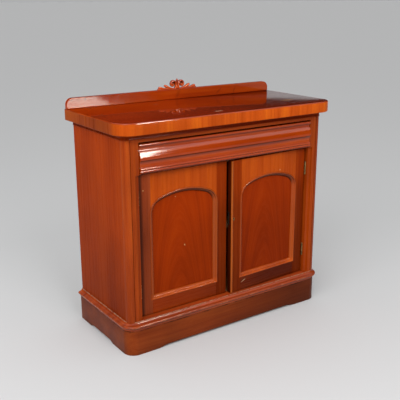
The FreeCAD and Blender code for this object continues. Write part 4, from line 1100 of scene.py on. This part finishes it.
def buildFrontStiles():
    low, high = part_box("front_stiles")
    front, back = low.y, high.y
    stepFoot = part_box("bottom_board")[1].z
    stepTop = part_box("left_door_top_rail")[1].z + stile["stepAboveDoor"]
    shapes = []
    for side in (left, right):
        outer, inner = side * high.x, side * (high.x - stile["width"])
        quirk = side * (high.x - stile["quirk"])
        step = inner + side * stile["stepWide"]
        face = [(quirk, low.z), (quirk, high.z), (inner, high.z), (inner, stepTop), (step, stepTop),
                (step, stepFoot), (inner, stepFoot), (inner, low.z)]
        shapes.append(prismAlongY(face, front, back))
        for x0, x1, depth, z0, z1 in ((inner, step, stile["stepDeep"], stepFoot, stepTop),
                                      (quirk, outer, stile["quirk"], low.z, high.z)):
            shapes.append(blockShape((min(x0, x1), front + depth, z0), (max(x0, x1), back, z1)))
    makePiece("frontStiles", together(*shapes), "frontStileVeneer", ("front_stiles",),
              soften=stile["soften"])


def buildSides():
    for word in ("left", "right"):
        node = "side_panel_" + word
        makePiece("sidePanel" + word.capitalize(), blockShape(*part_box(node)), "sideVeneer", (node,),
                  soften=caseShape["sideArris"])


plinth = {
    # the feet are what stays of the boards beside the hollows
    "rise": 9.5 * mm,
    "frontHalf": 382 * mm,
    "frontSlope": 50 * mm,
    "sideMiddle": 45.5 * mm,
    "sideHalf": 106.5 * mm,
    "sideSlope": 25 * mm,
    "arris": 1.5 * mm,
    "arrisEased": 0.3,
    "cornerSteps": 18,
}


def buildPlinth():
    low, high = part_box("plinth_front")
    back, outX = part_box("plinth_sides")[1].y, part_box("plinth_sides")[1].x
    radius, wall = caseShape["plinthCorner"], caseShape["plinthWall"]
    head, arris, middle = high.z, plinth["arris"], plinth["sideMiddle"]
    eased = plinth["arrisEased"] * arris

    def cut(distance, word):
        # how far the foot is cut up at a distance from the middle of the hollow
        share = (plinth[word + "Half"] - abs(distance)) / plinth[word + "Slope"]
        return plinth["rise"] * min(1.0, max(0.0, share))

    # round the left half: each station's place, outward direction and cut, and then the same on the right
    outer, inner = plinth["sideHalf"], plinth["sideHalf"] - plinth["sideSlope"]
    half = [((-outX, y), (-1, 0), cut(y - middle, "side"))
            for y in (back, middle + outer, middle + inner, middle - inner, middle - outer)]
    corner = arcStations((radius - outX, low.y + radius), radius, 180, 270, plinth["cornerSteps"])
    half += [(place, way, 0) for place, way in corner]
    half += [((-x, low.y), (0, -1), cut(x, "front"))
             for x in (plinth["frontHalf"], plinth["frontHalf"] - plinth["frontSlope"])]
    stations = half + [((-x, y), (-wayX, wayY), rise) for (x, y), (wayX, wayY), rise in reversed(half)]
    points = []
    for (x, y), (wayX, wayY), rise in stations:
        for out, z in ((0, head), (0, rise + arris), (-eased, rise + eased), (-arris, rise), (-wall, rise),
                       (-wall, head)):
            points.append((x + wayX * out, y + wayY * out, z))
    shape = (points, ringFaces(len(stations), len(points) // len(stations)))
    makePiece("plinthBoards", shape, "plinthVeneer", ("plinth_front", "plinth_sides", "plinth_corners"),
              "plinth_wood")


backBoards = {
    "count": 6,
    "gap": 0.4 * mm,
    "groove": 1.6 * mm,
}


def buildBack():
    low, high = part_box("back_boards")
    width = (high.x - low.x) / backBoards["count"]
    inset = backBoards["gap"] / 2
    shapes = []
    for i in range(backBoards["count"]):
        x0, x1 = low.x + width * i + inset, low.x + width * (i + 1) - inset
        shapes.append(blockShape((x0, low.y, low.z), (x1, high.y, high.z)))
    makePiece("backBoards", together(*shapes), "backBoardPine", ("back_boards",), "inside_wood",
              soften=backBoards["groove"], steps=1)


# half the width of the case, its front and its back
caseEdges = (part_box("side_panel_right")[1].x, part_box("front_stiles")[0].y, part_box("side_panel_right")[1].y)
buildBedMould(*caseEdges)
buildPlinthMould(*caseEdges)
buildPosts()
buildFrontStiles()
buildSides()
buildPlinth()
buildBack()
print("stage: case, plinth and mouldings are built")


# The doors

door = {
    "hingeStile": 54 * mm,
    "meetingStile": 57 * mm,
    "bottomRail": 66 * mm,
    "springDrop": 172 * mm,         # from the door's head down to where its arch starts
    "shoulder": 65 * mm,            # radii of the arch at its sides and in the middle
    "crown": 338 * mm,
    "archSteps": 14,
    "meetingRound": 7 * mm,
    "meetingSteps": 6,
    "soften": 0.9 * mm,
    "pinRadius": 1.5 * mm,
    "mouldSteps": 10,
}

panelMould = {
    # distances in from the opening's edge, and heights above the door's face, in mm
    "start": -6.0,          # the bead laps over the frame
    "beadEnd": 2.4,
    "beadRise": 3.4,
    "quirkWide": 0.4,
    "quirkDrop": 1.2,
    "foot": 13.0,
    "footRise": 1.0,
    "hollow": 1.6,
    "bed": 0.3,
}

pinLow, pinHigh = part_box("hinge_pins")
doorPivot = (pinHigh.x - door["pinRadius"], (pinLow.y + pinHigh.y) / 2)
boltAxis = [joint for joint in frame["joints"] if joint["name"] == "lock_bolt_slide"][0]["axis"]
doorAjar = math.degrees(math.atan2(-boltAxis[1], -boltAxis[0]))


def doorSizes():
    # the closed left door, measured on its pieces and mirrored to the positive side
    low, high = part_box("left_door_hinge_stile")
    edge, meet = -low.x, -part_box("left_door_meeting_stile")[1].x
    return {
        "front": low.y, "back": high.y, "foot": low.z, "head": high.z, "edge": edge, "meet": meet,
        "hingeIn": edge - door["hingeStile"], "meetIn": meet + door["meetingStile"],
        "railTop": low.z + door["bottomRail"], "spring": high.z - door["springDrop"],
    }


sizes = doorSizes()
archCentre = (sizes["hingeIn"] + sizes["meetIn"]) / 2
archHalf = (sizes["hingeIn"] - sizes["meetIn"]) / 2
shoulderOut = archHalf - door["shoulder"]
crownDrop = math.sqrt((door["crown"] - door["shoulder"]) ** 2 - shoulderOut ** 2)
shoulderTurn = math.degrees(math.atan2(crownDrop, shoulderOut))


def archLine(inset):
    # the arched head from its right shoulder over to its left, about x = 0, drawn in by inset
    radius, crown, steps = door["shoulder"] - inset, door["crown"] - inset, door["archSteps"]
    spring, turn = sizes["spring"], shoulderTurn
    line = arcPoints((shoulderOut, spring), radius, 0, turn, steps)
    line += arcPoints((0, spring - crownDrop), crown, turn, 180 - turn, steps * 2)[1:]
    line += arcPoints((-shoulderOut, spring), radius, 180 - turn, 180, steps)[1:]
    return line


def panelLoop(inset):
    half = archHalf - inset
    foot = sizes["railTop"] + inset
    return [(-half, foot), (half, foot)] + archLine(inset)


def doorPiece(side, part, node, shape, finish, **more):
    # pieces are drawn for the right door, closed; the left is mirrored and the right swung ajar
    points, faces = shape
    if side == left:
        points = [(-x, y, z) for x, y, z in points]
    else:
        points = turnedAbout(points, doorPivot, doorAjar)
    word = "left" if side == left else "right"
    makePiece(word + "Door" + part, (points, faces), finish, (word + "_door_" + node,), "door_wood",
              word + "_door", **more)


def mouldShape():
    # the bead and the hollow round a panel, carried about the arched opening
    front = sizes["front"]
    m = {name: size * mm for name, size in panelMould.items()}
    quirk = (m["beadEnd"] + m["quirkWide"], front + m["quirkDrop"])
    profile = [(m["start"], front + m["bed"]), (m["start"], front)]
    profile += bow((m["start"], front), (m["beadEnd"], front), -m["beadRise"], door["mouldSteps"])
    profile.append(quirk)
    profile += bow(quirk, (m["foot"], panelFace - m["footRise"]), -m["hollow"],
                   door["mouldSteps"])
    profile += [(m["foot"], panelFace + m["bed"]), (0, panelFace + m["bed"]), (0, front + m["bed"])]
    points = [(archCentre + x, y, z) for inset, y in profile for x, z in panelLoop(inset)]
    size = len(panelLoop(0))
    faces = ringFaces(len(profile), size, caps=False)
    last = (len(profile) - 1) * size
    faces += [(i, (i + 1) % size, last + (i + 1) % size, last + i) for i in range(size)]
    return points, faces


def buildDoor(side):
    front, back, foot, head = (sizes[name] for name in ("front", "back", "foot", "head"))
    meet, meetIn, hingeIn = sizes["meet"], sizes["meetIn"], sizes["hingeIn"]
    soft = door["soften"]

    hingeStile = blockShape((hingeIn, front, foot), (sizes["edge"], back, head))
    veneer = "hingeStileVeneer" if side == left else "doorStileVeneer"
    doorPiece(side, "HingeStile", "hinge_stile", hingeStile, veneer, soften=soft)

    if side == left:
        # the right door's meeting stile keeps its own solid, with the openings for the key and the bolt
        rounded = door["meetingRound"]
        plan = [(meet, back), (meet, front + rounded)]
        plan += bow((meet, front + rounded), (meet + rounded, front), -quarterSag * rounded,
                    door["meetingSteps"])
        plan += [(meetIn, front), (meetIn, back)]
        doorPiece(side, "MeetingStile", "meeting_stile", prismUp(plan, foot, head), "doorStileVeneer")

    bottomRail = blockShape((meetIn, front, foot), (hingeIn, back, sizes["railTop"]))
    doorPiece(side, "BottomRail", "bottom_rail", bottomRail, "bottomRailVeneer", soften=soft)

    outline = [(archCentre + x, z) for x, z in archLine(0)] + [(meetIn, head), (hingeIn, head)]
    doorPiece(side, "TopRail", "top_rail", prismAlongY(outline, front, back), "doorRailVeneer")
    doorPiece(side, "PanelMould", "panel_mould", mouldShape(), "panelMouldMahogany", smoothBelow=40)


closingBead = {
    "width": 11 * mm,
    "proud": 4 * mm,
    "steps": 14,
}


def buildClosingBead():
    start, end = sizes["meet"], sizes["meet"] + closingBead["width"]
    face = sizes["front"]
    plan = [(start, face)]
    plan += bow(plan[0], (end, face), -closingBead["proud"], closingBead["steps"])
    doorPiece(right, "ClosingBead", "closing_bead", prismUp(plan, sizes["foot"], sizes["head"]),
              "closingBeadMahogany", smoothBelow=50)


buildDoor(left)
buildDoor(right)
buildClosingBead()
print("stage: doors are built")


# The drawer front

drawerFront = {
    # each arris down the face: how far it stands before the stiles and below the drawer's top, and how far
    # the round that leads on from it stands off its chord, in mm, with that round's steps if there is one
    "beadTop": (3.5, 0, -2.5, 14),
    "beadFoot": (3.5, 11, 0, 0),
    "ledgeTop": (-3.0, 11.4, 0.6, 6),
    "ledgeFoot": (-3.0, 25, -1.0, 12),
    "bulgeTurn": (7.0, 48, -0.6, 10),       # where the long slope of the bulge turns upright
    "bulgeNose": (9.0, 60, 0, 0),
    "bulgeFoot": (8.6, 64, 0, 0),
    "coveTop": (8.0, 64.6, 3.4, 18),
    "coveFoot": (1.4, 88, 0, 0),
    "coveEnd": (1.6, 95, 0, 0),
    "reedTop": (5.6, 95, -2.4, 12),
    "reedMiddle": (5.6, 105, -2.4, 12),
    "reedFoot": (5.6, 115, 0, 0),
    "faceFoot": (0, 115.3, 0, 0),
}


def buildDrawerFront():
    low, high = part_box("drawer_front")
    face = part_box("front_stiles")[0].y
    arrises = [((face - proud * mm, high.z - drop * mm), sag * mm, steps)
               for proud, drop, sag, steps in drawerFront.values()]
    line = [(high.y, high.z), arrises[0][0]]
    ends = [place for place, sag, steps in arrises[1:]]
    for (start, sag, steps), end in zip(arrises, ends):
        line += bow(start, end, sag, steps) if steps else [end]
    line += [(face, low.z), (high.y, low.z)]
    points = [(x, y, z) for x in (low.x, high.x) for y, z in line]
    makePiece("drawerFront", (points, ringFaces(2, len(line))), "drawerVeneer", ("drawer_front",),
              body="drawer", smoothBelow=30)


buildDrawerFront()
print("stage: drawer front is built")


# The pieces that keep their shape get their finish

finishes = {
    "insideCedar": ("top_rail_rear", "shelf", "plinth_back", "drawer_back", "drawer_bottom"),
    "lippedCedar": ("drawer_rail", "bottom_board"),
    "deepCedar": ("drawer_runners", "drawer_guides", "drawer_kickers", "bottom_bearers", "shelf_battens",
                  "drawer_sides"),
    "uprightCedar": ("plinth_glue_blocks", "drawer_stops"),
    "frontStileVeneer": ("hinge_posts",),
    "topRailMahogany": ("top_rail_front",),
    "leftFlameVeneer": ("left_door_panel",),
    "rightFlameVeneer": ("right_door_panel",),
    "lockStileVeneer": ("right_door_meeting_stile",),
    "agedBrass": ("hinge_fixed_leaves", "hinge_pins", "left_door_hinge_leaves", "right_door_hinge_leaves",
                  "left_door_bolt", "left_door_bolt_plate", "right_door_keyhole_rim", "right_door_lock_bolt"),
    "screwSteel": ("hinge_case_screws", "left_door_hinge_screws", "right_door_hinge_screws"),
    "darkIron": ("right_door_lock_case",),
}

for finish, names in finishes.items():
    for name in names:
        mesh = nodes[name].data
        mesh.materials.clear()
        mesh.materials.append(finishOf[finish])
print("stage: kept pieces are finished")
